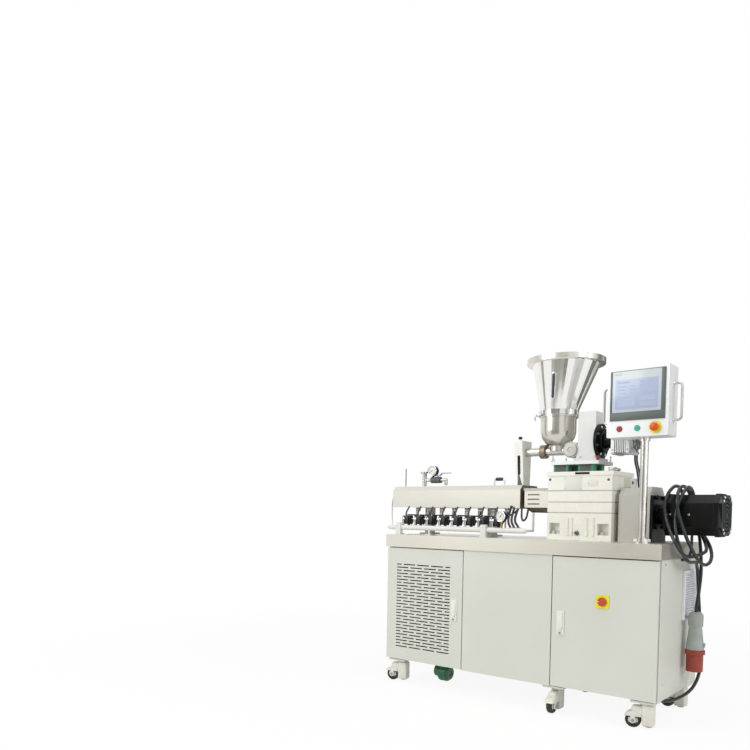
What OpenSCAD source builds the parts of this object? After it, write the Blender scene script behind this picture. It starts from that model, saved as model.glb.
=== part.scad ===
// Laboratory twin-screw plastic extruder on a wheeled cabinet, with feeder and operator panel.
// Millimetres, +Z up. The front faces -Y and the drive motor is at the +X end.
// Coordinates in the modules start at the cabinet's left front corner on the floor,
// and seat() moves the whole machine so that the middle of its footprint is the origin.

/* [Cabinet] */
// length of the cabinet
cabinet_l = 1640; // [1600:10:1700]
// depth of the cabinet
cabinet_d = 640; // [620:10:680]
// height of the front panels
panel_h = 690; // [640:10:740]
// height of the cabinet's underside above the floor
leg_h = 140; // [136:2:150]
// height of the deck's folded rim
deck_h = 75; // [60:5:90]
// depth of a folded door
door_t = 18; // [14:1:20]
// rows of air slots in the left door
slot_rows = 28; // [12:2:30]

/* [Extruder] */
// height of the screw axis above the deck
axis_h = 225; // [222:1:228]
// length of the barrel hood
hood_l = 912; // [905:1:915]
// depth of the barrel hood
hood_d = 230; // [220:2:240]
// length of the gearbox
gearbox_l = 360; // [350:2:364]
// depth of the gearbox
gearbox_d = 284; // [270:2:300]
// height of the gearbox casting
gearbox_h = 345; // [340:1:350]
// width of the drive motor
motor_w = 196; // [190:2:200]
// height of the drive motor
motor_h = 212; // [204:2:214]
// number of cooling valves
valve_count = 8; // [4:1:8]

/* [Feeder] */
// outer diameter of the hopper's rim
rim_d = 426; // [410:2:440]
// diameter of the hopper's bowl
bowl_d = 196; // [190:2:200]
// height of the hopper's rim above the floor
hopper_top = 1903; // [1890:1:1920]

/* [Operator panel] */
// width of the panel box
box_w = 300; // [296:2:310]
// height of the panel box
box_h = 343; // [336:1:350]
// depth of the panel box
box_d = 130; // [120:2:150]
// height of the panel box's underside above the floor
box_z = 1427; // [1410:1:1440]

/* [Casters] */
// diameter of a caster wheel
wheel_d = 76; // [70:2:78]
// width of a caster wheel
wheel_w = 30; // [26:1:32]
// distance from the swivel axis to the wheel's axle
caster_trail = 55; // [52:1:58]

/* [Mains cord] */
// diameter of the mains cord
cord_d = 17; // [14:1:18]

/* [Hidden] */
$fn = 64;
eps = 0.5;
sheet = 2;
gap = 6;
deck_z = leg_h + panel_h + deck_h;
axis_y = cabinet_d / 2;
axis_z = deck_z + axis_h;

// cabinet
deck_over = 8;
deck_wall = 3;
deck_top = 4;
panel_pitch = cabinet_l / 3;
panel_y = door_t + gap;
flange_w = 30;
pan_y = panel_y + sheet;
pan_lip = 30;
door_w = panel_pitch - gap;
door_h = panel_h - 2 * gap;
door_z = leg_h + gap;
wall_top = deck_z - deck_top;
latch_w = 40;
latch_h = 126;
latch_z = 481;
latch_left_x = 491;
latch_right_x = 1146;
vent_size = 255;
vent_y = 487;
vent_z = 636;
vent_t = 14;
slot_x = 74;
slot_field = 386;
slot_w = 85;
slot_h = 7;
slot_z = 722;
slot_pitch = (slot_field - slot_w) / 3;
slot_row_pitch = 18.5;
isolator_x = 1367;
isolator_z = 609;
isolator_size = 66;
knob_gap = 1;

// casters: x, y and the direction in which the wheel trails
caster_places = [
  [75, 62, 190], [1105, 62, 270], [1572, 62, 192],
  [75, 578, 170], [1105, 578, 185], [1572, 578, 176]];
caster_pad = [116, 100, 10];
caster_top = leg_h - caster_pad.z - 0.3;
caster_body_r = 36;
wheel_r = wheel_d / 2;
wheel_room = 3.5;
kingpin_r = 8;
axle_r = 5;
running = 0.05;

// extruder line
hood_x = -125;
hood_z = 1073 - 905 + deck_z;
hood_h = 133;
hood_chamfer = 27;
barrel_w = 92;
barrel_h = 96;
barrel_x = -102;
gearbox_x = 970;
gearbox_y = axis_y - gearbox_d / 2;
gearbox_top = deck_z + gearbox_h;
cover_x = 810;
cover_z = 1078 - 905 + deck_z;
cover_h = 109;
cover_d = 210;
manifold_y = 100;
manifold_z = deck_z + 42;
manifold_r = 15;
manifold_x = -76;
manifold_l = 950;
inlet_r = 8.5;
inlet_l = 45;
valve_x = 45;
valve_pitch = 91;
flange_half = 16;
first_flange = valve_x - valve_pitch / 2;
flange_count = 11;
support_flanges = [1, 6];
riser_x = 862;
pan_z = 1050 - 905 + deck_z;
valve_y = 150;
vent_x = 40;
vent_bore_r = 9;
vent_bore_l = 36;
gauge_x = 107;
lever_x = 143;
valve_pipe_z = 1249 - 905 + deck_z;

// feeder
scale_z = gearbox_top + 22;
block_h = 42;
plate_z = scale_z + block_h;
plate_t = 18;
column_x = 1098;
column_w = 100;
column_d = 114;
column_top = 1600 - 905 + deck_z;
tube_z = 1397 - 905 + deck_z;
tube_r = 24;
chute_x = 735;
bowl_x = 955;
bowl_r = bowl_d / 2;
bowl_base = tube_z + 27;
bowl_centre = tube_z + 114;
bowl_top = tube_z + 198;
rim_h = 30;
rim_x = 992;
rim_r = rim_d / 2;
cone_r = rim_r - 29;
feeder_axis_z = tube_z + 44;
feeder_w = 145;
feeder_h = 158;
feeder_x = 1288;
housing_x = 1058;
housing_r = 44;

// drive
guard_x = 1352;
guard_l = 135;
guard_w = 210;
guard_h = 281;
guard_chamfer = 40;
neck_r = 47;
neck_z = axis_z - 12;
bracket_x = guard_x + guard_l;
bracket_t = 26;
bracket_w = 220;
bracket_h = 285;
bracket_chamfer = 34;
adaptor_t = 14;
adaptor_h = 240;
motor_z = axis_z - 82;
motor_x = 1576;
motor_l = 256;
fan_l = 18;
motor_chamfer = 45;

// operator panel
pole_x = 1510;
pole_y = 120;
pole_r = 19;
box_x = 1340;
box_y = pole_y - box_d / 2;
screen_t = 6;
button_z = box_z + 41;
stop_x = box_x + 65;
start_x = box_x + 153;
estop_x = box_x + 240;
button_r = 10.5;
bezel_r = 14.75;
handle_off = 40;
handle_r = 5;

// mains cord: out of the gland under the floor pan, along the lower edge, up the end panel,
// three hanging turns round the drive motor, then down to the plug
cord_r = cord_d / 2;
gland_x = 1490;
gland_y = 176;
gland_z = 118;
gland_size = 40;
gland_l = 30;
relief_l = 28;
plug_x = 1700;
plug_y = 400;
plug_z = 250;
plug_h = 304;
cord_route = [
  [1548, 176, 118], [1578, 176, 118], [1610, 189, 118], [1636, 216, 119], [1653, 254, 121],
  [1663, 298, 125], [1672, 344, 131], [1682, 389, 143], [1692, 433, 166], [1700, 472, 205],
  [1703, 500, 260], [1701, 514, 325], [1697, 520, 400], [1687, 522, 500], [1679, 521, 600],
  [1674, 516, 690], [1675, 498, 745], [1680, 462, 785], [1688, 412, 805], [1695, 350, 811],
  [1698, 290, 812], [1696, 238, 822], [1687, 196, 850], [1675, 174, 892], [1660, 172, 945],
  [1647, 186, 1005], [1644, 206, 1060], [1655, 210, 1112], [1667, 234, 1158], [1671, 278, 1183],
  [1670, 328, 1187], [1667, 382, 1172], [1667, 424, 1132], [1673, 444, 1072], [1687, 448, 1005],
  [1706, 444, 945], [1727, 428, 902], [1742, 390, 874], [1743, 336, 860], [1734, 280, 850],
  [1719, 224, 843], [1702, 174, 850], [1686, 146, 874], [1668, 138, 908], [1646, 150, 942],
  [1620, 178, 985], [1599, 197, 1037], [1589, 206, 1093], [1597, 216, 1146], [1608, 252, 1182],
  [1611, 310, 1194], [1610, 372, 1184], [1613, 424, 1144], [1626, 454, 1082], [1653, 470, 1020],
  [1692, 476, 962], [1730, 466, 908], [1754, 436, 862], [1766, 388, 826], [1767, 328, 806],
  [1762, 268, 806], [1751, 216, 830], [1733, 186, 874], [1707, 178, 932], [1680, 184, 1000],
  [1659, 188, 1063], [1651, 193, 1122], [1646, 236, 1173], [1644, 300, 1192], [1643, 366, 1185],
  [1646, 426, 1150], [1653, 470, 1096], [1662, 492, 1030], [1674, 497, 960], [1686, 489, 890],
  [1697, 468, 825], [1705, 446, 760], [1706, 424, 680], [1702, 405, 600], [1700, 400, 570], [1700, 400, 554]];

// cables that stay on the machine: two from the feeder motor, one from the drive motor
feeder_cable_r = 5;
feeder_cable_gap = 11;
feeder_cable = [
  [1370, 380, 1362], [1370, 380, 1340], [1371, 387, 1318], [1375, 400, 1290], [1375, 425, 1240],
  [1372, 450, 1180], [1368, 462, 1110], [1366, 465, 1030], [1366, 465, 960], [1366, 465, 905]];
motor_cable_r = 7;
motor_cable = [
  [1690, 320, 947], [1690, 320, 905], [1688, 322, 870], [1679, 326, 842], [1664, 330, 825],
  [1652, 330, 820], [1640, 330, 820]];

// footprint that the origin is centred on
front_y = caster_places[1].y - caster_trail - wheel_r;
left_x = hood_x;
right_x = motor_x + motor_l + fan_l;
back_y = cabinet_d + deck_over + sheet;
origin_x = (left_x + right_x) / 2;
origin_y = (front_y + back_y) / 2;

cabinet_grey = "#d3d4cc";
stainless = "#cfccc0";
ivory = "#ecebe0";
satin = "#d9d3c4";
white = "#e6e6e2";
black = "#26282b";
steel = "#9aa0a3";
green = "#14532d";
red = "#b03030";
orange = "#d9491c";
yellow = "#e8dc00";

// rectangle with round corners, centred
module rounded(w, h, r) {
  square([w - 2 * r, h], center = true);
  square([w, h - 2 * r], center = true);
  for (x = [-1, 1], y = [-1, 1])
    translate([x * (w / 2 - r), y * (h / 2 - r)])
      circle(r);
}

// cylinder along +X, from x = 0
module rod_x(l, r) {
  rotate([0, 90, 0])
    cylinder(h = l, r = r);
}

// cylinder along +Y, from y = 0
module rod_y(l, r) {
  rotate([-90, 0, 0])
    cylinder(h = l, r = r);
}

// outline drawn in X and Z, extruded along +Y
module from_front(depth) {
  translate([0, depth, 0])
    rotate([90, 0, 0])
      linear_extrude(depth)
        children();
}

// outline drawn in Y and Z, extruded along +X
module from_side(length) {
  rotate([90, 0, 90])
    linear_extrude(length)
      children();
}

// folded sheet pan, open at its back
module folded_pan(w, d, h) {
  difference() {
    cube([w, d, h]);
    translate([sheet, sheet, sheet])
      cube([w - 2 * sheet, d, h - 2 * sheet]);
  }
}

module floor_pan() color(cabinet_grey) {
  difference() {
    translate([sheet, pan_y, leg_h])
      cube([cabinet_l - 2 * sheet, cabinet_d - sheet - pan_y, pan_lip]);
    translate([2 * sheet, pan_y + sheet, leg_h + sheet])
      cube([cabinet_l - 4 * sheet, cabinet_d - 3 * sheet - pan_y, pan_lip]);
  }
  for (p = caster_places)
    translate([p.x, p.y, leg_h - caster_pad.z])
      difference() {
        translate([-caster_pad.x / 2, -caster_pad.y / 2, 0])
          cube(caster_pad);
        translate([0, 0, -eps])
          cylinder(h = caster_pad.z, r = kingpin_r + running);
      }
  translate([gland_x, gland_y - gland_size / 2, gland_z - gland_size / 2])
    cube([gland_l, gland_size, leg_h - gland_z + gland_size / 2 + eps]);
  translate([gland_x + gland_l, gland_y, gland_z])
    rotate([0, 90, 0])
      cylinder(h = relief_l, r1 = 17, r2 = 11);
}

// end wall folded round at front and back
module end_wall() {
  difference() {
    cube([flange_w, cabinet_d - panel_y, wall_top - leg_h - sheet]);
    translate([sheet, sheet, -eps])
      cube([flange_w, cabinet_d - panel_y - 2 * sheet, wall_top]);
  }
}

module left_end_panel() color(cabinet_grey) {
  translate([0, panel_y, leg_h + sheet])
    end_wall();
}

module right_end_panel() color(cabinet_grey) {
  translate([cabinet_l, panel_y, leg_h + sheet])
    mirror([1, 0, 0])
      end_wall();
}

module back_panel() color(cabinet_grey) {
  translate([gap, cabinet_d, door_z])
    cube([cabinet_l - 2 * gap, sheet, door_h]);
}

module middle_panel() color(cabinet_grey) {
  translate([panel_pitch + gap / 2, 0, leg_h + sheet])
    folded_pan(door_w, pan_y, wall_top - leg_h - sheet);
}

module deck() color(stainless) {
  difference() {
    translate([-deck_over, -deck_over, deck_z - deck_h])
      cube([cabinet_l + 2 * deck_over, back_y + deck_over, deck_h]);
    translate([deck_wall - deck_over, deck_wall - deck_over, deck_z - deck_h - eps])
      cube([cabinet_l + 2 * deck_over - 2 * deck_wall, back_y + deck_over - 2 * deck_wall,
        deck_h - deck_top + eps]);
  }
}

// filter grille: square frame with sloping slats
module side_vent() color(white) {
  slats = 9;
  frame = 16;
  step = (vent_size - 2 * frame) / slats;
  translate([cabinet_l, vent_y, vent_z]) {
    from_side(vent_t)
      difference() {
        rounded(vent_size, vent_size, 8);
        square(vent_size - 2 * frame, center = true);
      }
    for (i = [0 : slats - 1])
      translate([0, -(vent_size - 2 * frame) / 2, frame - vent_size / 2 + i * step])
        rotate([90, 0, 90])
          rotate([0, 90, 0])
            linear_extrude(vent_size - 2 * frame)
              polygon([[-1, step], [-1, step + 3], [1 - vent_t, 5], [1 - vent_t, 2]]);
  }
}

module water_pump() color(green) {
  translate([310, 95, leg_h - 50]) {
    translate([46, 0, 0])
      rod_x(104, 46);
    rod_x(46, 36);
    translate([52, -32, 20])
      cube([84, 64, 30]);
  }
}

// one row of air slots: four whole, or three whole between two halves
module slot_row(staggered) {
  shift = staggered ? slot_pitch / 2 : 0;
  for (i = [0 : staggered ? 4 : 3]) {
    a = max(0, i * slot_pitch - shift);
    b = min(slot_field, i * slot_pitch - shift + slot_w);
    translate([a, 0])
      square([b - a, slot_h]);
  }
}

module left_door() color(cabinet_grey) {
  difference() {
    translate([gap / 2, 0, door_z])
      folded_pan(door_w, door_t, door_h);
    translate([slot_x, -eps, slot_z])
      from_front(sheet + 2 * eps)
        for (row = [0 : slot_rows - 1])
          translate([0, -row * slot_row_pitch])
            slot_row(row % 2 == 0);
  }
}

module right_door() color(cabinet_grey) {
  translate([2 * panel_pitch + gap / 2, 0, door_z])
    folded_pan(door_w, door_t, door_h);
}

// flush swing-handle lock
module door_latch(x) color(white) {
  translate([x, 0, latch_z]) {
    translate([0, -6, 0])
      from_front(6)
        rounded(latch_w, latch_h, 6);
    translate([0, -12, 14])
      from_front(6)
        rounded(latch_w - 14, latch_h - 44, 8);
    translate([0, -9, -latch_h / 2 + 22])
      rod_y(3, 9);
  }
}

module left_latch() {
  door_latch(latch_left_x);
}

module right_latch() {
  door_latch(latch_right_x);
}

module isolator_plate() color(yellow) {
  translate([isolator_x, -5, isolator_z])
    difference() {
      from_front(5)
        rounded(isolator_size, isolator_size, 4);
      translate([0, -eps, 0])
        rod_y(4, 6 + running);
    }
}

module isolator_knob() color(orange) {
  translate([isolator_x, -5, isolator_z]) {
    translate([0, -8 - knob_gap, 0])
      rod_y(8, 22);
    translate([0, -knob_gap, 0])
      rod_y(knob_gap + 3, 6);
    translate([-24, -9, -6])
      cube([36, 4, 12]);
  }
}

// swivelling body of a levelling caster, with the wheel trailing along -X
module caster_body() color(ivory) {
  trail = caster_trail;
  cheek = wheel_w + 2 * wheel_room + 14;
  difference() {
    union() {
      translate([0, 0, 22])
        cylinder(h = caster_top - 22, r = caster_body_r);
      translate([0, -cheek / 2, 0])
        from_front(cheek)
          polygon([[10, 112], [10, 40], [-trail + 14, 28], [-trail - 12, 28],
            [-trail - 32, 44], [-trail - wheel_r, 66], [-trail - 24, 94], [-trail + 4, 112]]);
      translate([0, 0, 8])
        cylinder(h = 16, r = 26);
    }
    translate([-trail, -wheel_w / 2 - wheel_room, wheel_r])
      rod_y(wheel_w + 2 * wheel_room, wheel_r + wheel_room);
  }
  translate([-trail, -cheek / 2 - 2, wheel_r])
    rod_y(cheek + 4, axle_r);
  translate([0, 0, caster_top - eps])
    cylinder(h = caster_pad.z - 2, r = kingpin_r);
}

module caster_wheel() color(black) {
  translate([-caster_trail, 0, wheel_r])
    rotate([90, 0, 0])
      rotate_extrude()
        polygon([[axle_r + running, -wheel_w / 2], [14, -wheel_w / 2], [16, -wheel_w / 2 + 4],
          [24, -wheel_w / 2 + 4], [26, -wheel_w / 2], [wheel_r - 5, -wheel_w / 2],
          [wheel_r, -wheel_w / 2 + 6], [wheel_r, wheel_w / 2 - 6], [wheel_r - 5, wheel_w / 2],
          [26, wheel_w / 2], [24, wheel_w / 2 - 4], [16, wheel_w / 2 - 4], [14, wheel_w / 2],
          [axle_r + running, wheel_w / 2]]);
}

// stands a caster piece at one of the six places, turned as it trails
module at_caster(i) {
  translate([caster_places[i].x, caster_places[i].y, 0])
    rotate([0, 0, caster_places[i].z + 180])
      children();
}

module barrel() color(steel) {
  die_bores = 4;
  translate([barrel_x, axis_y - barrel_w / 2 + 8, axis_z - barrel_h / 2 + 8])
    cube([gearbox_x - barrel_x, barrel_w - 16, barrel_h - 16]);
  translate([barrel_x, axis_y - barrel_w / 2, axis_z - barrel_h / 2])
    cube([flange_half, barrel_w, barrel_h]);
  for (i = [0 : flange_count - 1])
    translate([first_flange + i * valve_pitch - flange_half, axis_y - barrel_w / 2, axis_z - barrel_h / 2])
      cube([2 * flange_half, barrel_w, barrel_h]);
  translate([chute_x - 40, axis_y - barrel_w / 2, axis_z - barrel_h / 2])
    cube([90, barrel_w, barrel_h]);
  difference() {
    union() {
      translate([barrel_x - 10, axis_y - 50, axis_z - 46])
        cube([10 + eps, 100, 92]);
      translate([barrel_x - 20, axis_y - 40, axis_z - 24])
        cube([10 + eps, 80, 48]);
      translate([barrel_x - 8, axis_y, axis_z + 40])
        cylinder(h = 157, r = 3.5);
    }
    for (i = [0 : die_bores - 1])
      translate([barrel_x - 21, axis_y - 27 + i * 18, axis_z])
        rod_x(12, 2);
  }
}

module barrel_supports() color(steel) {
  for (i = support_flanges)
    translate([first_flange + i * valve_pitch, axis_y, deck_z]) {
      translate([-30, -70, 0])
        cube([60, 140, 10]);
      translate([-16, -34, 0])
        cube([32, 68, axis_h - barrel_h / 2 - 4]);
      translate([-20, sheet - hood_d / 2, axis_h - barrel_h / 2 - 8])
        cube([40, hood_d - 2 * sheet, 8]);
    }
}

// outline of the hood's folded sheet
module hood_outline(inset) {
  w = hood_d / 2 - inset;
  top = hood_h - inset;
  c = hood_chamfer - inset * 0.41;
  polygon([[-w, 0], [-w, top - c], [c - w, top], [w - c, top], [w, top - c], [w, 0]]);
}

module barrel_hood() color(satin) {
  difference() {
    translate([hood_x, axis_y, hood_z])
      from_side(hood_l)
        hood_outline(0);
    translate([hood_x - eps, axis_y, hood_z - eps])
      from_side(hood_l - sheet + eps)
        hood_outline(sheet);
    translate([hood_x + hood_l - 2 * sheet, axis_y - 62, hood_z - eps])
      cube([3 * sheet, 124, hood_h - 10]);
    translate([vent_x, axis_y, hood_z])
      cylinder(h = hood_h + eps, r = 20);
    translate([barrel_x - 8, axis_y, hood_z])
      cylinder(h = hood_h + eps, r = 6);
    translate([chute_x - 32, axis_y - 48, hood_z + hood_h - 2 * sheet])
      cube([64, 96, 3 * sheet]);
  }
}

module hood_handle() color(black) {
  translate([548, axis_y, hood_z + hood_h]) {
    for (x = [10, 68])
      translate([x, 0, 0])
        cylinder(h = 40, r = 6);
    translate([0, 0, 40])
      rod_x(78, 12);
  }
}

module vent_stack() color(steel) {
  stack_h = valve_pipe_z + 53 - axis_z - barrel_h / 2;
  translate([vent_x, axis_y, axis_z + barrel_h / 2])
    difference() {
      union() {
        cylinder(h = stack_h, r = 14);
        translate([0, 0, stack_h - 12])
          cylinder(h = 12, r = 26);
      }
      translate([0, 0, stack_h - vent_bore_l])
        cylinder(h = vent_bore_l + eps, r = vent_bore_r);
    }
  translate([vent_x, axis_y, valve_pipe_z]) {
    rod_x(165, 10);
    translate([57, 0, 0])
      rod_x(69, 20);
    translate([lever_x - vent_x, 0, 0])
      cylinder(h = 24, r = 7);
    translate([165, 0, 0])
      sphere(11);
    translate([165, 0, -34])
      cylinder(h = 34, r = 10);
  }
}

module vent_lever() color("#2c66a8") {
  translate([lever_x, axis_y, valve_pipe_z + 25]) {
    cylinder(h = 5, r = 10);
    translate([0, -6, 0])
      from_front(12)
        polygon([[0, 0], [0, 5], [14, 5], [32, 20], [96, 20], [96, 15], [35, 15], [17, 0]]);
  }
}

// round dial gauge facing the front, with its stem below
module dial_gauge(r, stem) {
  difference() {
    translate([0, -15, 0])
      rod_y(30, r);
    translate([0, -15 - eps, 0])
      rod_y(4 + eps, r - 4);
  }
  translate([0, 0, -r - stem])
    cylinder(h = stem + 4, r = 6);
}

module pressure_gauges() color(white) {
  translate([gauge_x, axis_y, 1306 - 905 + deck_z])
    dial_gauge(33, 4);
  translate([731, manifold_y, deck_z + 120])
    dial_gauge(30, 120 - 42 - manifold_r - 30);
}

module water_manifold() color(white) {
  post_w = 33;
  post_h = 72;
  riser_y = 225;
  riser_r = 6.5;
  translate([manifold_x, manifold_y, manifold_z])
    difference() {
      union() {
        rotate([0, 90, 0])
          cylinder(h = 20, r1 = 11, r2 = manifold_r);
        translate([20, 0, 0])
          rod_x(manifold_l - 20, manifold_r);
        translate([manifold_l, 0, 0])
          sphere(manifold_r);
      }
      translate([-eps, 0, 0])
        rod_x(inlet_l + eps, inlet_r);
    }
  for (x = [18, 624])
    translate([x, manifold_y - 24, deck_z + post_h / 2])
      from_front(26)
        rounded(post_w, post_h, 5);
  for (x = [18, 240, 624])
    translate([x - 20, manifold_y - 26, deck_z])
      cube([40, 40, 5]);
  translate([235, manifold_y - 9, deck_z])
    cube([10, 18, manifold_z - deck_z]);
  for (i = [0 : valve_count - 1])
    translate([valve_x + i * valve_pitch, manifold_y, manifold_z])
      rod_y(valve_y - 16 - manifold_y, 7);
  translate([riser_x, manifold_y, manifold_z])
    rod_y(riser_y - manifold_y, riser_r);
  translate([riser_x, riser_y, manifold_z])
    sphere(riser_r);
  translate([riser_x, riser_y, manifold_z])
    cylinder(h = pan_z - manifold_z, r = riser_r);
}

module solenoid_valves() color(black) {
  for (i = [0 : valve_count - 1])
    translate([valve_x + i * valve_pitch, valve_y, manifold_z]) {
      translate([-16, -16, -14])
        cube([32, 36, 28]);
      translate([0, 2, 14])
        cylinder(h = 12, r = 9);
      translate([-17, -14, 22])
        cube([34, 32, 40]);
      translate([-11, -24, 28])
        cube([22, 12, 26]);
    }
}

module coolant_tubes() color(white) {
  tube_y = 232;
  for (i = [0 : valve_count - 1])
    translate([valve_x + i * valve_pitch, 0, manifold_z]) {
      translate([0, valve_y + 20, 0])
        rod_y(tube_y - valve_y - 20, 5);
      translate([0, tube_y, 0])
        sphere(5);
      translate([0, tube_y, 0])
        cylinder(h = axis_z - 15 - manifold_z, r = 5);
      translate([0, tube_y, axis_z - 15 - manifold_z])
        sphere(5);
      translate([0, tube_y, axis_z - 15 - manifold_z])
        rod_y(axis_y - barrel_w / 2 + 8 - tube_y, 5);
    }
}

module feed_cover() color(satin) {
  length = gearbox_x - cover_x;
  slot_l = 72;
  play = 0.5;
  difference() {
    union() {
      translate([cover_x, axis_y - cover_d / 2, cover_z])
        cube([length, cover_d, cover_h - 14]);
      translate([cover_x - 4, axis_y - cover_d / 2 - 4, cover_z + cover_h - 14])
        cube([length + 4, cover_d + 8, 14]);
    }
    translate([cover_x - 5, axis_y - barrel_w / 2 - play, axis_z - barrel_h / 2 - play])
      cube([length + 6, barrel_w + 2 * play, barrel_h + 2 * play]);
    for (z = [20, 46, 72])
      translate([cover_x + 20, axis_y - cover_d / 2 - eps, cover_z + z - 4])
        cube([slot_l, 6 + eps, 8]);
  }
  hull() {
    translate([cover_x, axis_y - cover_d / 2 + 6, cover_z - eps])
      cube([length, cover_d - 12, eps]);
    translate([cover_x + 30, axis_y - cover_d / 2 + 36, pan_z])
      cube([length - 60, cover_d - 72, eps]);
  }
}

// chute that narrows from the feed tube down to the barrel's feed port
module feed_chute() color(white) {
  difference() {
    hull() {
      translate([chute_x - 26, axis_y - 58, 1460 - 905 + deck_z])
        cube([53, 116, 3]);
      translate([chute_x - 8, axis_y - 36, axis_z + barrel_h / 2])
        cube([39, 73, 3]);
    }
    translate([chute_x - 6, axis_y - 70, 1268 - 905 + deck_z])
      from_front(40)
        translate([10, 55])
          rounded(18, 112, 8);
    translate([chute_x - 40, axis_y, tube_z])
      rod_x(90, tube_r + running);
  }
  translate([chute_x, axis_y - 30, 1463 - 905 + deck_z]) {
    cylinder(h = 10, r = 5);
    translate([0, 0, 10])
      cylinder(h = 14, r = 11);
  }
}

module gearbox() color(ivory) {
  foot = 60;
  groove = 3;
  difference() {
    translate([gearbox_x, gearbox_y, deck_z])
      cube([gearbox_l, gearbox_d, gearbox_h]);
    for (z = [144, 201, 262])
      translate([gearbox_x, gearbox_y, deck_z + z])
        difference() {
          translate([-eps, -eps, 0])
            cube([gearbox_l + 2 * eps, gearbox_d + 2 * eps, 5]);
          translate([groove, groove, -eps])
            cube([gearbox_l - 2 * groove, gearbox_d - 2 * groove, 6]);
        }
    for (x = [14, gearbox_l - 14 - foot], y = [-eps, gearbox_d - 40])
      translate([gearbox_x + x, gearbox_y + y, deck_z + 30])
        cube([foot, 40 + eps, foot]);
  }
  for (x = [118, 142, 226, 262])
    translate([gearbox_x + x, gearbox_y, deck_z + 24])
      cylinder(h = 96, r = 8);
  translate([gearbox_x + 172, gearbox_y - 6, deck_z + 38])
    rod_y(8, 13);
  translate([gearbox_x - 8, gearbox_y - 6, gearbox_top])
    cube([gearbox_l + 16, gearbox_d + 12, 22]);
  translate([gearbox_x + gearbox_l - eps, axis_y, neck_z])
    rod_x(guard_x - gearbox_x - gearbox_l + eps, neck_r);
  translate([gearbox_x + gearbox_l - eps, axis_y + 20, deck_z + guard_h + 5])
    cube([36, 100, 50]);
}

// upright plate outline with its two upper corners cut off
module cut_plate(w, h, c) {
  polygon([[-w / 2, 0], [-w / 2, h - c], [c - w / 2, h], [w / 2 - c, h], [w / 2, h - c], [w / 2, 0]]);
}

module coupling_guard() color("#b9bcb7") {
  translate([guard_x, axis_y, deck_z])
    from_side(guard_l)
      cut_plate(guard_w, guard_h, guard_chamfer);
}

module motor_bracket() color("#a9ada8") {
  difference() {
    translate([bracket_x, axis_y, deck_z])
      from_side(bracket_t)
        cut_plate(bracket_w, bracket_h, bracket_chamfer);
    translate([bracket_x - eps, axis_y, motor_z])
      rod_x(bracket_t + 2 * eps, 55);
  }
}

// square motor outline with cut corners
module motor_outline(inset) {
  w = motor_w / 2 - inset;
  h = motor_h / 2 - inset;
  c = motor_chamfer - inset * 0.59;
  polygon([[-w, c - h], [-w, h - c], [c - w, h], [w - c, h],
    [w, h - c], [w, c - h], [w - c, -h], [c - w, -h]]);
}

module drive_motor() color(black) {
  adaptor_x = bracket_x + bracket_t;
  bolt_zs = [-63, 22, 87];
  translate([adaptor_x, axis_y, deck_z])
    from_side(adaptor_t)
      cut_plate(bracket_w - 8, adaptor_h, 10);
  for (y = [-70, 70], z = bolt_zs)
    translate([adaptor_x + adaptor_t - eps, axis_y + y, motor_z + z])
      rod_x(16, 12);
  translate([adaptor_x, axis_y, motor_z])
    rod_x(motor_x - adaptor_x + eps, 52);
  translate([motor_x, axis_y, motor_z])
    from_side(18)
      motor_outline(0);
  translate([motor_x + 18, axis_y, motor_z])
    from_side(motor_l - 40)
      motor_outline(5);
  translate([motor_x + motor_l - 22, axis_y, motor_z])
    from_side(22)
      motor_outline(0);
}

module fan_cover() color(steel) {
  translate([motor_x + motor_l, axis_y, motor_z])
    difference() {
      from_side(fan_l)
        motor_outline(6);
      for (r = [24, 42, 60, 78])
        translate([fan_l - 6, 0, 0])
          difference() {
            rod_x(8, r + 4);
            translate([-eps, 0, 0])
              rod_x(9, r - 4);
          }
    }
}

module feeder_scale() color("#c9ccc8") {
  for (x = [970, 1113], y = [axis_y - 75, axis_y + 35])
    translate([x, y, scale_z])
      cube([84, 40, block_h]);
  translate([962, axis_y - 100, plate_z])
    cube([274, 200, plate_t]);
}

module feeder_column() color(white) {
  base_h = 16;
  column_z = plate_z + plate_t;
  translate([column_x, axis_y - column_d / 2, column_z])
    cube([column_w, column_d, column_top - column_z]);
  translate([column_x - 12, axis_y - column_d / 2 - 20, column_z])
    cube([column_w + 30, column_d + 40, base_h]);
  translate([column_x, axis_y + column_d / 2, column_z + base_h - eps])
    rotate([90, 0, 0])
      linear_extrude(column_d)
        polygon([[eps, 0], [-12, 0], [eps, 34]]);
  translate([housing_x, axis_y - 60, tube_z])
    rod_y(120, housing_r);
}

module feeder_motor() color(steel) {
  disc_r = 93;
  fins = 6;
  plate = 18;
  body_l = 97;
  translate([column_x + column_w, axis_y, feeder_axis_z]) {
    rod_x(16, disc_r);
    rod_x(34, 62);
    rod_x(feeder_x - column_x - column_w + eps, 40);
  }
  translate([feeder_x, axis_y, feeder_axis_z]) {
    for (x = [0, body_l - plate])
      translate([x, 0, 0])
        from_side(plate)
          rounded(feeder_w, feeder_h, 10);
    for (i = [0 : fins - 1])
      translate([plate + 4 + i * 9.5, 0, 0])
        from_side(4)
          rounded(feeder_w - 8, feeder_h - 8, 8);
    from_side(body_l)
      rounded(feeder_w - 34, feeder_h - 34, 8);
    translate([body_l, 0, 0])
      rod_x(12, 60);
  }
}

module feed_tube() color(steel) {
  difference() {
    union() {
      translate([chute_x + 32, axis_y, tube_z])
        rod_x(housing_x - chute_x - 32, tube_r);
      translate([856, axis_y, tube_z])
        rod_x(33, 39);
      translate([bowl_x, axis_y, tube_z])
        cylinder(h = bowl_base - tube_z, r = 45);
    }
    translate([bowl_x, axis_y, tube_z - 14])
      cylinder(h = 60, r = 19);
    translate([housing_x, axis_y - 60, tube_z])
      rod_y(120, housing_r + running);
  }
}

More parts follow.
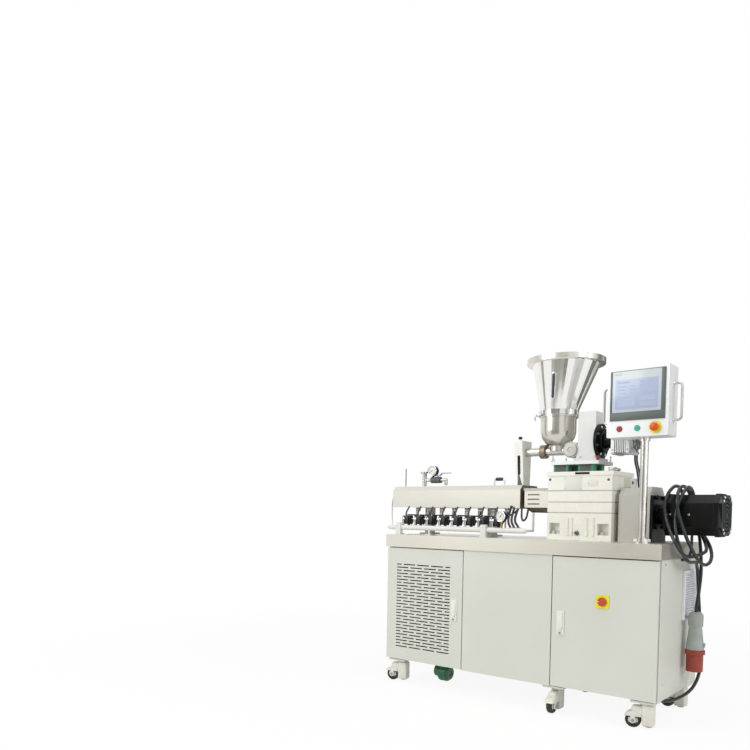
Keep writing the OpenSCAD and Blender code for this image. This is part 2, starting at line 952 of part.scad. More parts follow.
module hopper_bowl() color(stainless) {
  translate([bowl_x, axis_y, 0])
    difference() {
      union() {
        intersection() {
          translate([0, 0, bowl_centre])
            sphere(bowl_r);
          translate([0, 0, bowl_base])
            cylinder(h = bowl_centre - bowl_base, r = bowl_r + 1);
        }
        translate([0, 0, bowl_centre])
          cylinder(h = bowl_top - bowl_centre, r = bowl_r);
        translate([0, 0, bowl_top - 12])
          cylinder(h = 12, r = bowl_r + 10);
      }
      translate([0, 0, bowl_centre])
        sphere(bowl_r - 3);
      translate([0, 0, bowl_centre])
        cylinder(h = bowl_top, r = bowl_r - 3);
      translate([0, 0, bowl_base - eps])
        cylinder(h = 40, r = 19);
    }
}

// eccentric cone between the bowl and the rim
module cone_body(inset, extra) {
  hull() {
    translate([bowl_x, axis_y, bowl_top - extra])
      cylinder(h = 12 + extra, r = bowl_r - inset);
    translate([rim_x, axis_y, hopper_top - rim_h - eps])
      cylinder(h = eps + extra, r = cone_r - inset);
  }
}

module hopper_cone() color(stainless) {
  difference() {
    union() {
      cone_body(0, 0);
      translate([bowl_x, axis_y, bowl_top])
        cylinder(h = 12, r = bowl_r + 10);
    }
    cone_body(3, eps);
  }
  translate([rim_x, axis_y, hopper_top - rim_h])
    rotate_extrude()
      polygon([[cone_r - 3, 0], [rim_r - 2, 0], [rim_r, 2], [rim_r, rim_h],
        [rim_r - 8, rim_h], [rim_r - 8, 8], [cone_r - 3, 8]]);
}

module panel_pole() color(stainless) {
  translate([pole_x, pole_y, deck_z]) {
    cylinder(h = 8, r = 42);
    cylinder(h = 30, r = 26);
    cylinder(h = box_z - deck_z, r = pole_r);
    translate([0, 0, box_z - deck_z - 18])
      cylinder(h = 18, r = 25);
  }
}

module panel_box() color(white) {
  difference() {
    translate([box_x, box_y, box_z])
      from_front(box_d)
        translate([box_w / 2, box_h / 2])
          rounded(box_w, box_h, 6);
    for (x = [stop_x, start_x])
      translate([x, box_y - eps, button_z])
        rod_y(12, button_r + 0.5);
    translate([estop_x, box_y - eps, button_z])
      rod_y(20, 9);
  }
  for (x = [stop_x, start_x])
    translate([x, box_y - 3, button_z])
      difference() {
        rod_y(3, bezel_r);
        translate([0, -eps, 0])
          rod_y(4, button_r + 0.5);
      }
}

module panel_screen() color("#5e6663") {
  w = 268;
  h = 244;
  translate([box_x + box_w / 2, box_y - screen_t, box_z + 203])
    difference() {
      from_front(screen_t)
        rounded(w, h, 8);
      translate([0, -eps, 6])
        from_front(2 + eps)
          square([w - 26, h - 40], center = true);
    }
}

module panel_handles() color(steel) {
  for (side = [0, 1])
    translate([side == 0 ? box_x - handle_off : box_x + box_w, pole_y, box_z + 78]) {
      for (z = [0, 176])
        translate([0, 0, z])
          rod_x(handle_off, handle_r);
      translate([side == 0 ? 0 : handle_off, 0, 0]) {
        cylinder(h = 176, r = handle_r);
        for (z = [0, 176])
          translate([0, 0, z])
            sphere(handle_r);
      }
    }
}

// push button with a flat cap
module push_button(x) {
  translate([x, box_y - 5, button_z])
    rod_y(10, button_r);
}

module stop_button() color(red) {
  push_button(stop_x);
}

module start_button() color("#2fb59a") {
  push_button(start_x);
}

module estop_ring() color(yellow) {
  translate([estop_x, box_y - 3, button_z])
    difference() {
      rod_y(3, 30);
      translate([0, -eps, 0])
        rod_y(4, 9);
    }
}

module estop_button() color(orange) {
  translate([estop_x, box_y, button_z])
    rotate([90, 0, 0])
      rotate_extrude()
        polygon([[0, -8], [8, -8], [8, 14], [18, 14], [20, 17], [20, 24], [17, 28], [0, 30]]);
}

// round tube swept along a route, with rings of points square to its direction
cord_sides = 8;
function unit(v) = v / norm(v);
function direction(route, i) = unit(route[min(i + 1, len(route) - 1)] - route[max(i - 1, 0)]);
function ring(route, i, r) =
  let (t = direction(route, i))
  let (a = unit(cross(t, abs(t.x) > 0.8 ? [0, 1, 0] : [1, 0, 0])))
  let (b = cross(t, a))
  [for (k = [0 : cord_sides - 1])
    route[i] + r * (cos(360 * k / cord_sides) * a + sin(360 * k / cord_sides) * b)];

module swept_tube(route, r) {
  rings = len(route);
  points = [for (i = [0 : rings - 1]) each ring(route, i, r)];
  sides = [for (i = [0 : rings - 2], k = [0 : cord_sides - 1])
    let (n = (k + 1) % cord_sides)
    [i * cord_sides + k, i * cord_sides + n, (i + 1) * cord_sides + n, (i + 1) * cord_sides + k]];
  start = [for (k = [0 : cord_sides - 1]) cord_sides - 1 - k];
  end = [for (k = [0 : cord_sides - 1]) (rings - 1) * cord_sides + k];
  polyhedron(points = points, faces = concat([start, end], sides));
}

module machine_cables() color(black) {
  swept_tube(feeder_cable, feeder_cable_r);
  translate([feeder_cable_gap, 0, 0])
    swept_tube(feeder_cable, feeder_cable_r);
  swept_tube(motor_cable, motor_cable_r);
}

module mains_cord() color(black) {
  swept_tube(cord_route, cord_r);
}

module mains_plug() color("#a9afaa") {
  translate([plug_x, plug_y, plug_z])
    difference() {
      rotate_extrude()
        polygon([[0, 0], [41, 0], [41, 85], [48.5, 88], [48.5, 108], [44, 112], [31, 225],
          [35, 232], [35, 290], [24, plug_h], [0, plug_h]]);
      translate([0, 0, -eps])
        cylinder(h = 60, r = 37);
    }
  translate([plug_x, plug_y, plug_z]) {
    for (a = [0 : 72 : 288])
      rotate([0, 0, a])
        translate([22, 0, 14])
          cylinder(h = 46, r = 4.5);
  }
}

// moves the machine so that the middle of its footprint is the origin
module seat() {
  translate([-origin_x, -origin_y, 0])
    children();
}

seat() floor_pan();
seat() left_end_panel();
seat() right_end_panel();
seat() back_panel();
seat() middle_panel();
seat() deck();
seat() side_vent();
seat() water_pump();
seat() left_door();
seat() left_latch();
seat() right_door();
seat() right_latch();
seat() isolator_plate();
seat() isolator_knob();
seat() at_caster(0) caster_body();  // caster_fl
seat() at_caster(1) caster_body();  // caster_fm
seat() at_caster(2) caster_body();  // caster_fr
seat() at_caster(3) caster_body();  // caster_rl
seat() at_caster(4) caster_body();  // caster_rm
seat() at_caster(5) caster_body();  // caster_rr
seat() at_caster(0) caster_wheel();  // wheel_fl
seat() at_caster(1) caster_wheel();  // wheel_fm
seat() at_caster(2) caster_wheel();  // wheel_fr
seat() at_caster(3) caster_wheel();  // wheel_rl
seat() at_caster(4) caster_wheel();  // wheel_rm
seat() at_caster(5) caster_wheel();  // wheel_rr
seat() barrel();
seat() barrel_supports();
seat() barrel_hood();
seat() hood_handle();
seat() vent_stack();
seat() vent_lever();
seat() pressure_gauges();
seat() water_manifold();
seat() solenoid_valves();
seat() coolant_tubes();
seat() feed_cover();
seat() feed_chute();
seat() gearbox();
seat() coupling_guard();
seat() motor_bracket();
seat() drive_motor();
seat() fan_cover();
seat() feeder_scale();
seat() feeder_column();
seat() feeder_motor();
seat() feed_tube();
seat() hopper_bowl();
seat() hopper_cone();
seat() panel_pole();
seat() panel_box();
seat() panel_screen();
seat() panel_handles();
seat() stop_button();
seat() start_button();
seat() estop_ring();
seat() estop_button();
seat() machine_cables();
seat() mains_cord();
seat() mains_plug();
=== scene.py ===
# %% [markdown]
# # Laboratory plastic extruder
# A bench-scale twin-screw extruder: a wheeled cabinet carries the hooded barrel, its gearbox and
# motor, a weighing feeder with a steel hopper, and a touch panel on a pole. The measured solids
# come from the construction model and stay where they are. This lesson gives every solid its real
# finish and adds the small pieces that the solids leave out.

# %% Load the measured model
import math

import bpy
from mathutils import Matrix, Vector


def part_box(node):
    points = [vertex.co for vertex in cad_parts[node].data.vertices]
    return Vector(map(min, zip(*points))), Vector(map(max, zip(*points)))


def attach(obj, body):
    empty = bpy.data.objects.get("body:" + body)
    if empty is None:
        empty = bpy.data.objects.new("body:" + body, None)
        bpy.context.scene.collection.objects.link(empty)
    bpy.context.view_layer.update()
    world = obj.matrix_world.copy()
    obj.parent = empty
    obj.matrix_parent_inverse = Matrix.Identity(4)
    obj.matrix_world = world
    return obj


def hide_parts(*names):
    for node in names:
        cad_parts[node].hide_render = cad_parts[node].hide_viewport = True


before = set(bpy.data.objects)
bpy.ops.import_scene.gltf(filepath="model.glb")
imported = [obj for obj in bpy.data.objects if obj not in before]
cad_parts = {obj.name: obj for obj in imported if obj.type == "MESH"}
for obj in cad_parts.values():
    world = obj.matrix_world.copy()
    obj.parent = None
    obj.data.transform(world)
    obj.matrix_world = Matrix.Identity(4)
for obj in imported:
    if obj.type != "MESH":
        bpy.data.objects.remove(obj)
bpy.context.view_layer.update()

# %% [markdown]
# Every place in this lesson is written in millimetres from the cabinet's front left foot, as on a
# workshop drawing. One function turns such a place into the model's own metres.

# %% Places on the cabinet
corner = Vector((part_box("left_end_panel")[0].x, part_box("left_door")[0].y, 0))


def at(x, y, z):
    return corner + Vector((x, y, z)) / 1000


print("cabinet corner at", tuple(round(v, 4) for v in corner))

# %% [markdown]
# The camera stands to the right of the machine, just above the deck, and looks almost level. The
# picture keeps much empty space above the machine, so the lens is shifted upwards instead of
# tilted, which keeps the cabinet's upright edges upright.

# %% Camera
turn, dip, roll = (math.radians(angle) for angle in (39.22, 2.18, 0.96))
ahead = Vector((-math.sin(turn) * math.cos(dip), math.cos(turn) * math.cos(dip), -math.sin(dip)))
across = ahead.cross(Vector((0, 0, 1))).normalized()
upward = across.cross(ahead)
side = across * math.cos(roll) + upward * math.sin(roll)
top = upward * math.cos(roll) - across * math.sin(roll)
bpy.ops.object.select_all(action="DESELECT")
bpy.ops.object.camera_add(location=at(2765, -3514, 1028))
camera = bpy.context.object
camera.rotation_euler = Matrix((side, top, -ahead)).transposed().to_euler()
picture, focal, level_row = 750, 726.8, 541.5
camera.data.lens = 36 * focal / picture
camera.data.shift_y = (level_row - picture / 2) / picture
bpy.context.scene.camera = camera
print("camera lens", round(camera.data.lens, 2), "mm")

# %% [markdown]
# The mains cord is a heavy rubber cable. It leaves a gland under the cabinet, climbs behind the
# right end, hangs in three loose turns over the motor and drops to its plug. Its route is the one
# of the construction model.

# %% Cord route
cord_route = [
    (1548, 176, 118), (1578, 176, 118), (1610, 189, 118), (1636, 216, 119), (1653, 254, 121),
    (1663, 298, 125), (1672, 344, 131), (1682, 389, 143), (1692, 433, 166), (1700, 472, 205),
    (1703, 500, 260), (1701, 514, 325), (1697, 520, 400), (1687, 522, 500), (1679, 521, 600),
    (1674, 516, 690), (1675, 498, 745), (1680, 462, 785), (1688, 412, 805), (1695, 350, 811),
    (1698, 290, 812), (1696, 238, 822), (1687, 196, 850), (1675, 174, 892), (1660, 172, 945),
    (1647, 186, 1005), (1644, 206, 1060), (1655, 210, 1112), (1667, 234, 1158), (1671, 278, 1183),
    (1670, 328, 1187), (1667, 382, 1172), (1667, 424, 1132), (1673, 444, 1072), (1687, 448, 1005),
    (1706, 444, 945), (1727, 428, 902), (1742, 390, 874), (1743, 336, 860), (1734, 280, 850),
    (1719, 224, 843), (1702, 174, 850), (1686, 146, 874), (1668, 138, 908), (1646, 150, 942),
    (1620, 178, 985), (1599, 197, 1037), (1589, 206, 1093), (1597, 216, 1146), (1608, 252, 1182),
    (1611, 310, 1194), (1610, 372, 1184), (1613, 424, 1144), (1626, 454, 1082), (1653, 470, 1020),
    (1692, 476, 962), (1730, 466, 908), (1754, 436, 862), (1766, 388, 826), (1767, 328, 806),
    (1762, 268, 806), (1751, 216, 830), (1733, 186, 874), (1707, 178, 932), (1680, 184, 1000),
    (1659, 188, 1063), (1651, 193, 1122), (1646, 236, 1173), (1644, 300, 1192), (1643, 366, 1185),
    (1646, 426, 1150), (1653, 470, 1096), (1662, 492, 1030), (1674, 497, 960), (1686, 489, 890),
    (1697, 468, 825), (1705, 446, 760), (1706, 424, 680), (1702, 405, 600), (1700, 400, 570),
    (1700, 400, 554),
]
print("cord route has", len(cord_route), "points")

# %% [markdown]
# A cable like this takes one smooth curve, so a bevelled curve through the route's points is the
# natural tool, and it serves for the hoses and pipes too. The thickness is set as the radius of
# each point, because Blender counts that into the curve's box.

# %% Mains cord
def swept(name, places, thickness, steps=12, kind="BEZIER"):
    line = bpy.data.curves.new(name, "CURVE")
    line.dimensions = "3D"
    line.bevel_depth = 1
    line.bevel_resolution = 3
    line.resolution_u = steps
    line.use_fill_caps = True
    spline = line.splines.new(kind)
    smooth = kind == "BEZIER"
    knots = spline.bezier_points if smooth else spline.points
    knots.add(len(places) - 1)
    for knot, place in zip(knots, places):
        knot.radius = thickness / 2000
        knot.co = place if smooth else (*place, 1)
        if smooth:
            knot.handle_left_type = knot.handle_right_type = "AUTO"
    made = bpy.data.objects.new(name, line)
    bpy.context.scene.collection.objects.link(made)
    return made


cord_thickness = 17
cord_places = [at(*place) for place in cord_route]
mains_cable = swept("mains_cable", cord_places, cord_thickness, 6)
cord_length = sum((b - a).length for a, b in zip(cord_places, cord_places[1:]))
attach(mains_cable, "machine")
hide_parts("mains_cord")
print("cord length", round(cord_length, 3), "m")

# %% [markdown]
# ## Finishes
# Colours are written as on a colour chart and turned to the linear values that a shader wants.
# A finish is built from nodes. One small function adds a node, sets it, links it and hands back the
# output that the next node needs, or all of them.

# %% Colour and nodes
def colour(code):
    parts = [int(code[i : i + 2], 16) / 255 for i in (1, 3, 5)]
    return [p / 12.92 if p <= 0.04045 else ((p + 0.055) / 1.055) ** 2.4 for p in parts] + [1]


def add_node(material, kind, inputs, output=0, **settings):
    made = material.node_tree.nodes.new(kind)
    for name, value in settings.items():
        setattr(made, name, value)
    for socket, value in inputs.items():
        if isinstance(value, bpy.types.NodeSocket):
            material.node_tree.links.new(value, made.inputs[socket])
        else:
            made.inputs[socket].default_value = value
    return made.outputs if output is None else made.outputs[output]


print("ivory enamel in linear light:", [round(v, 3) for v in colour("#EDECE0")])

# %% [markdown]
# Most real finishes differ in a grain: the orange peel of a powder coat, the drawn lines of brushed
# steel, the grit of a moulded plastic. One recipe draws that grain at its size in millimetres, and
# lets it carry the tone, the gloss and the relief together, as it does on the real surface. A
# second, slow cloud keeps a large sheet from looking printed. Hands and tools rub the paint off the
# edges first: a Bevel node feels where the surface turns a corner within a few millimetres, and the
# cloud breaks that line up, so that the edge tone comes and goes along the edge. Where that tone is
# paler than the surface, it is a painted highlight as well as wear: the light a rounded edge would
# catch.

# %% Grained finish
def finish(
    name, pale, deep, grain, rough, relief, metallic=0.0, stretch=(1, 1, 1), cloud=160, edge_wear_and_highlight=None
):
    made = bpy.data.materials.new(name)
    made.use_nodes = True
    shader = made.node_tree.nodes["Principled BSDF"]
    shader.inputs["Metallic"].default_value = metallic
    place = add_node(made, "ShaderNodeTexCoord", {}, "Object")
    drawn = add_node(made, "ShaderNodeMapping", {"Vector": place, "Scale": stretch})
    grains = {"Vector": drawn, "Scale": 1000 / grain, "Detail": 3}
    fine = add_node(made, "ShaderNodeTexNoise", grains, "Fac")
    clouds = {"Vector": place, "Scale": 1000 / cloud, "Detail": 2}
    slow = add_node(made, "ShaderNodeTexNoise", clouds, "Fac")
    both = add_node(made, "ShaderNodeMath", {0: fine, 1: slow}, operation="ADD")
    spread = {"Value": both, "From Min": 0.7, "From Max": 1.3}
    share = add_node(made, "ShaderNodeMapRange", spread)
    tones = {0: share, 6: colour(deep), 7: colour(pale)}
    tone = add_node(made, "ShaderNodeMix", tones, 2, data_type="RGBA")
    # Edge tone: rubbed paint, and where it is paler than the surface also a painted highlight on
    # the corners.
    if edge_wear_and_highlight:
        rounded = add_node(made, "ShaderNodeBevel", {"Radius": 0.004})
        flat = add_node(made, "ShaderNodeNewGeometry", {}, "Normal")
        turning = add_node(
            made, "ShaderNodeVectorMath", {0: rounded, 1: flat}, "Value", operation="DOT_PRODUCT"
        )
        corners = {"Value": turning, "From Min": 0.96, "From Max": 0.8}
        edge = add_node(made, "ShaderNodeMapRange", corners)
        broken = add_node(made, "ShaderNodeMath", {0: edge, 1: slow}, operation="MULTIPLY")
        tones = {0: broken, 6: tone, 7: colour(edge_wear_and_highlight)}
        tone = add_node(made, "ShaderNodeMix", tones, 2, data_type="RGBA")
    glosses = {"Value": share, "To Min": rough[0], "To Max": rough[1]}
    gloss = add_node(made, "ShaderNodeMapRange", glosses)
    reliefs = {"Height": fine, "Strength": 0.5, "Distance": relief / 1000}
    bump = add_node(made, "ShaderNodeBump", reliefs)
    for socket, value in (("Base Color", tone), ("Roughness", gloss), ("Normal", bump)):
        made.node_tree.links.new(value, shader.inputs[socket])
    return made


print("grained finish ready")

# %% [markdown]
# Sheet and tube. The cabinet is powder-coated steel, the deck is brushed stainless with lines along
# its length, the hood is a satin sheet, and hopper and pole are polished or drawn. The brushing of
# a real sheet is far finer than a pixel, so it is drawn a few millimetres wide.

# %% Sheet and tube finishes
# Powder coat: a soft satin grey with a fine orange peel, paler at the edges: rubbed paint and a
# painted highlight.
powder_coat = finish(
    "powder_coat", "#DADBD2", "#D3D5CA", 5, (0.42, 0.5), 0.06, cloud=420, edge_wear_and_highlight="#F0F0EA"
)
# Brushed stainless: close, pale lines along the deck that break up its reflections. Its paler edges
# are wear and a painted highlight along the rim.
brushed_steel = finish(
    "brushed_stainless", "#DBD8CC", "#D5D2C6", 2, (0.3, 0.38), 0.008, 0.8, (0.015, 1, 1), 500,
    "#F2F1EC",
)
# Satin sheet: a creamy, soft reflection without clear lines, paler at the edges as wear and a
# painted highlight.
satin_sheet = finish(
    "satin_sheet_steel", "#D9D6CD", "#D2CFC6", 3, (0.34, 0.44), 0.01, 0.5, (0.03, 1, 1), 450,
    "#EEECE6",
)
# Mirror-polished stainless: sharp reflections with faint drawing marks round the hopper.
mirror_steel = finish(
    "polished_stainless", "#F7F6F2", "#EDECE8", 6, (0.1, 0.18), 0.01, 1.0, (1, 1, 0.04), 120
)
# Spun stainless of the bowl: fine rings round it, a softer mirror than the cone.
spun_steel = finish(
    "spun_stainless", "#DCDAD1", "#CFCDC4", 2, (0.2, 0.27), 0.004, 1.0, (0.04, 0.04, 1), 200
)
# Drawn stainless tube of the pole and handles: satin, with lines along the tube.
tube_steel = finish(
    "drawn_stainless_tube", "#DDDBD6", "#CBC9C3", 3, (0.16, 0.26), 0.02, 1.0, (1, 1, 0.03), 120
)
print("sheet and tube finishes:", len(bpy.data.materials))

# %% [markdown]
# Light paints. Enamel on a casting is thick and shows the waves of the mould below; lacquer on
# sheet is thinner and flatter. All of them wear first at the corners.

# %% Light paints
# Ivory enamel on cast iron: glossy, a little wavy from the casting below, chipped at the corners.
ivory_enamel = finish(
    "ivory_enamel_casting", "#F4F3EA", "#ECEBE0", 14, (0.28, 0.36), 0.06, cloud=240,
    edge_wear_and_highlight="#CFCDBF",
)
# The same enamel, darker and duller in the grooves of the casting: painted shade in the grooves.
groove_shade_enamel = finish("shaded_groove_enamel", "#D2D0C2", "#C2C0B1", 9, (0.45, 0.6), 0.05)
# White stove enamel on sheet and pipe: smooth and clean, a soft gloss.
white_enamel = finish(
    "white_enamel", "#E7E8E4", "#DDDEDA", 8, (0.3, 0.4), 0.04, cloud=200, edge_wear_and_highlight="#CACBC7"
)
# Silver-white lacquer of the panel box: cool, with a faint metal sheen.
silver_lacquer = finish(
    "silver_white_lacquer", "#F0F1F2", "#E8E9EB", 5, (0.28, 0.36), 0.04, 0.1, cloud=220,
    edge_wear_and_highlight="#C9CBCD",
)
# White lacquer of the feed chute: warmer and brighter than the panel's.
chute_lacquer = finish(
    "warm_white_lacquer", "#FBFAF4", "#F3F2EB", 6, (0.32, 0.42), 0.03, cloud=200, edge_wear_and_highlight="#D6D6D0"
)
# Grey hammer paint on guards and brackets: dull and slightly dimpled, paler at the edges as wear
# and a painted highlight on the corners.
grey_paint = finish(
    "grey_machine_paint", "#C3C2B9", "#B8B7AE", 6, (0.36, 0.48), 0.08, cloud=220, edge_wear_and_highlight="#E2E3DF"
)
print("finishes with the light paints:", len(bpy.data.materials))

# %% [markdown]
# Bare metals. The eye tells them apart by how sharp their mirror is, which way the tool marks run
# and how warm the grey is, so those three differ here.

# %% Bare metals
# Machined steel: close turning marks.
machined_steel = finish(
    "machined_steel", "#B4B3AE", "#93918B", 3, (0.28, 0.42), 0.03, 0.9, (1, 1, 0.2)
)
# Satin pipe of the vent and the feed line: pale, with soft lines along it.
pipe_steel = finish("satin_pipe", "#D2D2CC", "#BDBDB6", 4, (0.22, 0.34), 0.02, 0.9, (0.1, 1, 1))
# Heat-tinted steel of barrel and clamp: brown-grey, dull. The same brown-grey is laid as painted
# shade in the hood's gap and in the feed cover's slots.
heat_tint_and_shade_steel = finish("heat_tinted_and_shade_steel", "#9C907C", "#776D5E", 12, (0.4, 0.55), 0.06, 0.75)
# Cast aluminium: grainy light grey.
cast_aluminium = finish(
    "cast_aluminium", "#DADCDA", "#C4C7C5", 5, (0.36, 0.48), 0.1, 0.6, edge_wear_and_highlight="#ECEDEC"
)
# Chrome plate: clear reflections, faint haze.
chrome = finish("chrome_plate", "#E6E7E8", "#D4D6D8", 20, (0.08, 0.14), 0.01, 1.0)
print("finishes with the bare metals:", len(bpy.data.materials))

# %% [markdown]
# Dark paints, and the brass of the small fittings. A dark paint shows little but its gloss and its
# rubbed edges, so the mirror of the black one is set low, as under a film of dust.

# %% Dark paints and brass
# Black enamel: deep, glossy, dusty grey where the edges are rubbed. In the fan cover's grooves its
# black is painted shade.
black_enamel_and_shade = finish(
    "black_enamel_and_shade", "#0C0F0D", "#050706", 10, (0.3, 0.42), 0.06, cloud=140, edge_wear_and_highlight="#454B50"
)
black_enamel_and_shade.node_tree.nodes["Principled BSDF"].inputs["Specular IOR Level"].default_value = 0.16
# Dark grey lacquer of the valve body: plain and half dull.
dark_lacquer = finish("dark_grey_lacquer", "#5C5F60", "#474A4B", 6, (0.35, 0.48), 0.05)
# Charcoal lacquer of the motor's fan cover: between the black motor and a dusty grey.
charcoal_lacquer = finish(
    "charcoal_lacquer", "#252B29", "#181D1B", 6, (0.4, 0.52), 0.05, cloud=60, edge_wear_and_highlight="#6B716F"
)
# Dark green pump enamel: glossy over a rough casting.
green_enamel = finish(
    "green_enamel", "#1F6B40", "#11492B", 10, (0.3, 0.42), 0.1, cloud=60, edge_wear_and_highlight="#5E8F74"
)
# Brass of stems and plug pins: warm yellow glints.
brass = finish("brass", "#C9A75C", "#A38243", 5, (0.25, 0.4), 0.03, 1.0)
print("finishes with the dark paints:", len(bpy.data.materials))

# %% [markdown]
# Moulded plastics and rubber. Their grit is a fraction of a millimetre, so it is drawn at two to
# four millimetres, with a gloss that goes from worn to fresh.

# %% Plastic and rubber finishes
# Black ABS of coils, cases and sleeves: near black, paler where the edges are rubbed.
black_plastic = finish(
    "black_abs", "#1F2224", "#101214", 3, (0.36, 0.5), 0.06, cloud=50, edge_wear_and_highlight="#4A4E50"
)
# White ABS of latches and dials: clean and a little warm, with a soft gloss.
white_plastic = finish("white_abs", "#EFEFEB", "#E4E4DF", 3, (0.32, 0.44), 0.04)
# Filter ABS: a cool white with little gloss.
filter_plastic = finish("pale_filter_abs", "#F1F2F6", "#E6E7ED", 3, (0.45, 0.58), 0.03)
# Yellow ABS of the safety plates: an even, strong signal yellow.
yellow_plastic = finish("yellow_abs", "#F3EA33", "#E8DC1E", 3, (0.3, 0.42), 0.03)
# Orange-red ABS of the emergency stop: the brightest spot on the machine.
orange_plastic = finish("orange_red_abs", "#E2561F", "#CB3F16", 4, (0.25, 0.38), 0.03)
# Brick-orange nylon of the isolator knob: duller and browner than the stop.
knob_plastic = finish("brick_orange_nylon", "#C9542A", "#B2431F", 4, (0.3, 0.42), 0.04)
# Red and teal ABS of the push buttons: deep tones with a clear highlight.
red_plastic = finish("red_abs", "#A02C2B", "#7E1A1D", 4, (0.25, 0.38), 0.03)
teal_plastic = finish("teal_abs", "#35B79D", "#219C84", 4, (0.25, 0.38), 0.03)
# Dipped vinyl of the lever: a soft, slightly waxy blue.
blue_plastic = finish("blue_dipped_vinyl", "#8E9AC6", "#7480B0", 4, (0.35, 0.5), 0.05)
# Green ABS of the terminal caps: a matt mid green.
green_plastic = finish("green_terminal_abs", "#4FA577", "#398A5F", 4, (0.4, 0.52), 0.05)
# Slate-grey ABS: a dark, dry grey without highlights.
slate_plastic = finish("slate_grey_abs", "#676B69", "#525654", 3, (0.45, 0.58), 0.06)
# Bezel: a grey-green that is darker than the page it frames.
bezel_plastic = finish("dark_grey_bezel", "#626A65", "#555C58", 3, (0.38, 0.5), 0.04)
# Cast nylon of the casters: ivory, a little lumpy, stained at its edges.
ivory_nylon = finish(
    "ivory_cast_nylon", "#EDEAE1", "#DEDBCF", 5, (0.35, 0.48), 0.1, cloud=50, edge_wear_and_highlight="#B9B5A6"
)
# Tread rubber: black, the dullest finish here.
tread_rubber = finish("black_tread", "#2B2B2B", "#171717", 4, (0.55, 0.7), 0.12, cloud=30)
# Cord rubber: black, with a soft sheen along the cord.
cord_rubber = finish("black_cord_rubber", "#232628", "#141618", 4, (0.26, 0.38), 0.06)
# Grey and red ABS of the plug: matt, a little clouded from handling.
plug_grey = finish("grey_plug_abs", "#AEB5B0", "#9CA39E", 4, (0.4, 0.52), 0.05, cloud=60)
plug_red = finish("red_plug_abs", "#A84530", "#8E3628", 4, (0.34, 0.46), 0.05, cloud=60)
# Milky hose: pale and smooth, with a soft highlight along the tube.
clear_hose = finish("milky_hose", "#E6E4DC", "#CFCCC0", 5, (0.2, 0.3), 0.03, cloud=40)
# Smoked acrylic of the sight glasses: dark, smooth, faintly streaked with powder.
smoked_glass = finish("smoked_acrylic", "#5E5F66", "#46474D", 25, (0.34, 0.44), 0.01)
smoked_glass.node_tree.nodes["Principled BSDF"].inputs["Specular IOR Level"].default_value = 0.2
mains_cable.data.materials.append(cord_rubber)
print("all finishes:", len(bpy.data.materials))

# %% [markdown]
# Each solid now gets its finish. The solids stay as they are; only their material slots change.

# %% Finishes on the solids
def dress(used, *nodes):
    for name in nodes:
        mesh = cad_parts[name].data
        mesh.materials.clear()
        mesh.materials.append(used)


corners_of_cart = ("fl", "fm", "fr", "rl", "rm", "rr")
dress(powder_coat, "floor_pan", "left_end_panel", "right_end_panel", "back_panel", "middle_panel")
dress(powder_coat, "left_door", "right_door")
dress(brushed_steel, "deck")
dress(white_plastic, "left_latch", "right_latch")
dress(yellow_plastic, "isolator_plate", "estop_ring")
dress(knob_plastic, "isolator_knob")
dress(orange_plastic, "estop_button")
dress(tread_rubber, *("wheel_" + place for place in corners_of_cart))
dress(heat_tint_and_shade_steel, "barrel")
dress(white_enamel, "barrel_supports", "water_manifold", "feeder_column")
dress(chute_lacquer, "feed_chute")
dress(satin_sheet, "barrel_hood", "feed_cover")
dress(black_plastic, "solenoid_valves", "machine_cables", "pressure_gauges")
dress(pipe_steel, "vent_stack", "feed_tube")
dress(spun_steel, "hopper_bowl")
dress(blue_plastic, "vent_lever")
dress(clear_hose, "coolant_tubes")
dress(ivory_enamel, "gearbox")
dress(grey_paint, "coupling_guard", "motor_bracket")
dress(black_enamel_and_shade, "drive_motor")
dress(charcoal_lacquer, "fan_cover")
dress(cast_aluminium, "feeder_motor", "feeder_scale")
dress(mirror_steel, "hopper_cone")
dress(tube_steel, "panel_pole")
dress(silver_lacquer, "panel_box")
dress(red_plastic, "stop_button")
dress(teal_plastic, "start_button")
dress(plug_grey, "mains_plug")
print("dressed solids:", sum(bool(o.data.materials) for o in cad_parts.values()))

# %% [markdown]
# Some solids are several materials at once, such as the plug with its red sleeve. A face that lies
# in the named zone takes the second finish.

# %% Second finishes by place
def dress_zone(used, node, inside):
    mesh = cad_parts[node].data
    mesh.materials.append(used)
    for face in mesh.polygons:
        if inside((face.center - corner) * 1000):
            face.material_index = len(mesh.materials) - 1


def from_axis(p, x, y):
    return math.hypot(p.x - x, p.y - y)


plug_axis, centre_line, feed_axis = (1700, 400), 320, 1397
groove_heights = (1051.5, 1108.5, 1169.5)
dress_zone(plug_red, "mains_plug", lambda p: p.z < 362)
dress_zone(black_plastic, "mains_plug", lambda p: p.z < 311 and from_axis(p, *plug_axis) < 37.5)
dress_zone(brass, "mains_plug", lambda p: p.z < 309.5 and from_axis(p, *plug_axis) < 28)
dress_zone(black_enamel_and_shade, "feeder_motor", lambda p: p.x < 1289)
dress_zone(slate_plastic, "feeder_scale", lambda p: p.z < 1313.9)
# The hood's right end face, in the gap beside the feed cover, takes the brown-grey steel: painted
# shade in that gap.
dress_zone(heat_tint_and_shade_steel, "barrel_hood", lambda p: p.x > 784)
# The backs of the feed cover's slots take the dark brown-grey steel: painted shade in the slots.
dress_zone(heat_tint_and_shade_steel, "feed_cover", lambda p: 215.2 < p.y < 222 and p.z < 1170 and p.x < 903)
dress_zone(heat_tint_and_shade_steel, "feed_cover", lambda p: p.z < 1077.9)
dress_zone(grey_paint, "feed_cover", lambda p: p.z > 1172.9)
dress_zone(slate_plastic, "feed_chute", lambda p: abs(p.x - 739) < 9.5 and p.y > 268 and p.z < 1381)
dress_zone(black_plastic, "feed_chute", lambda p: p.z > 1472.9)
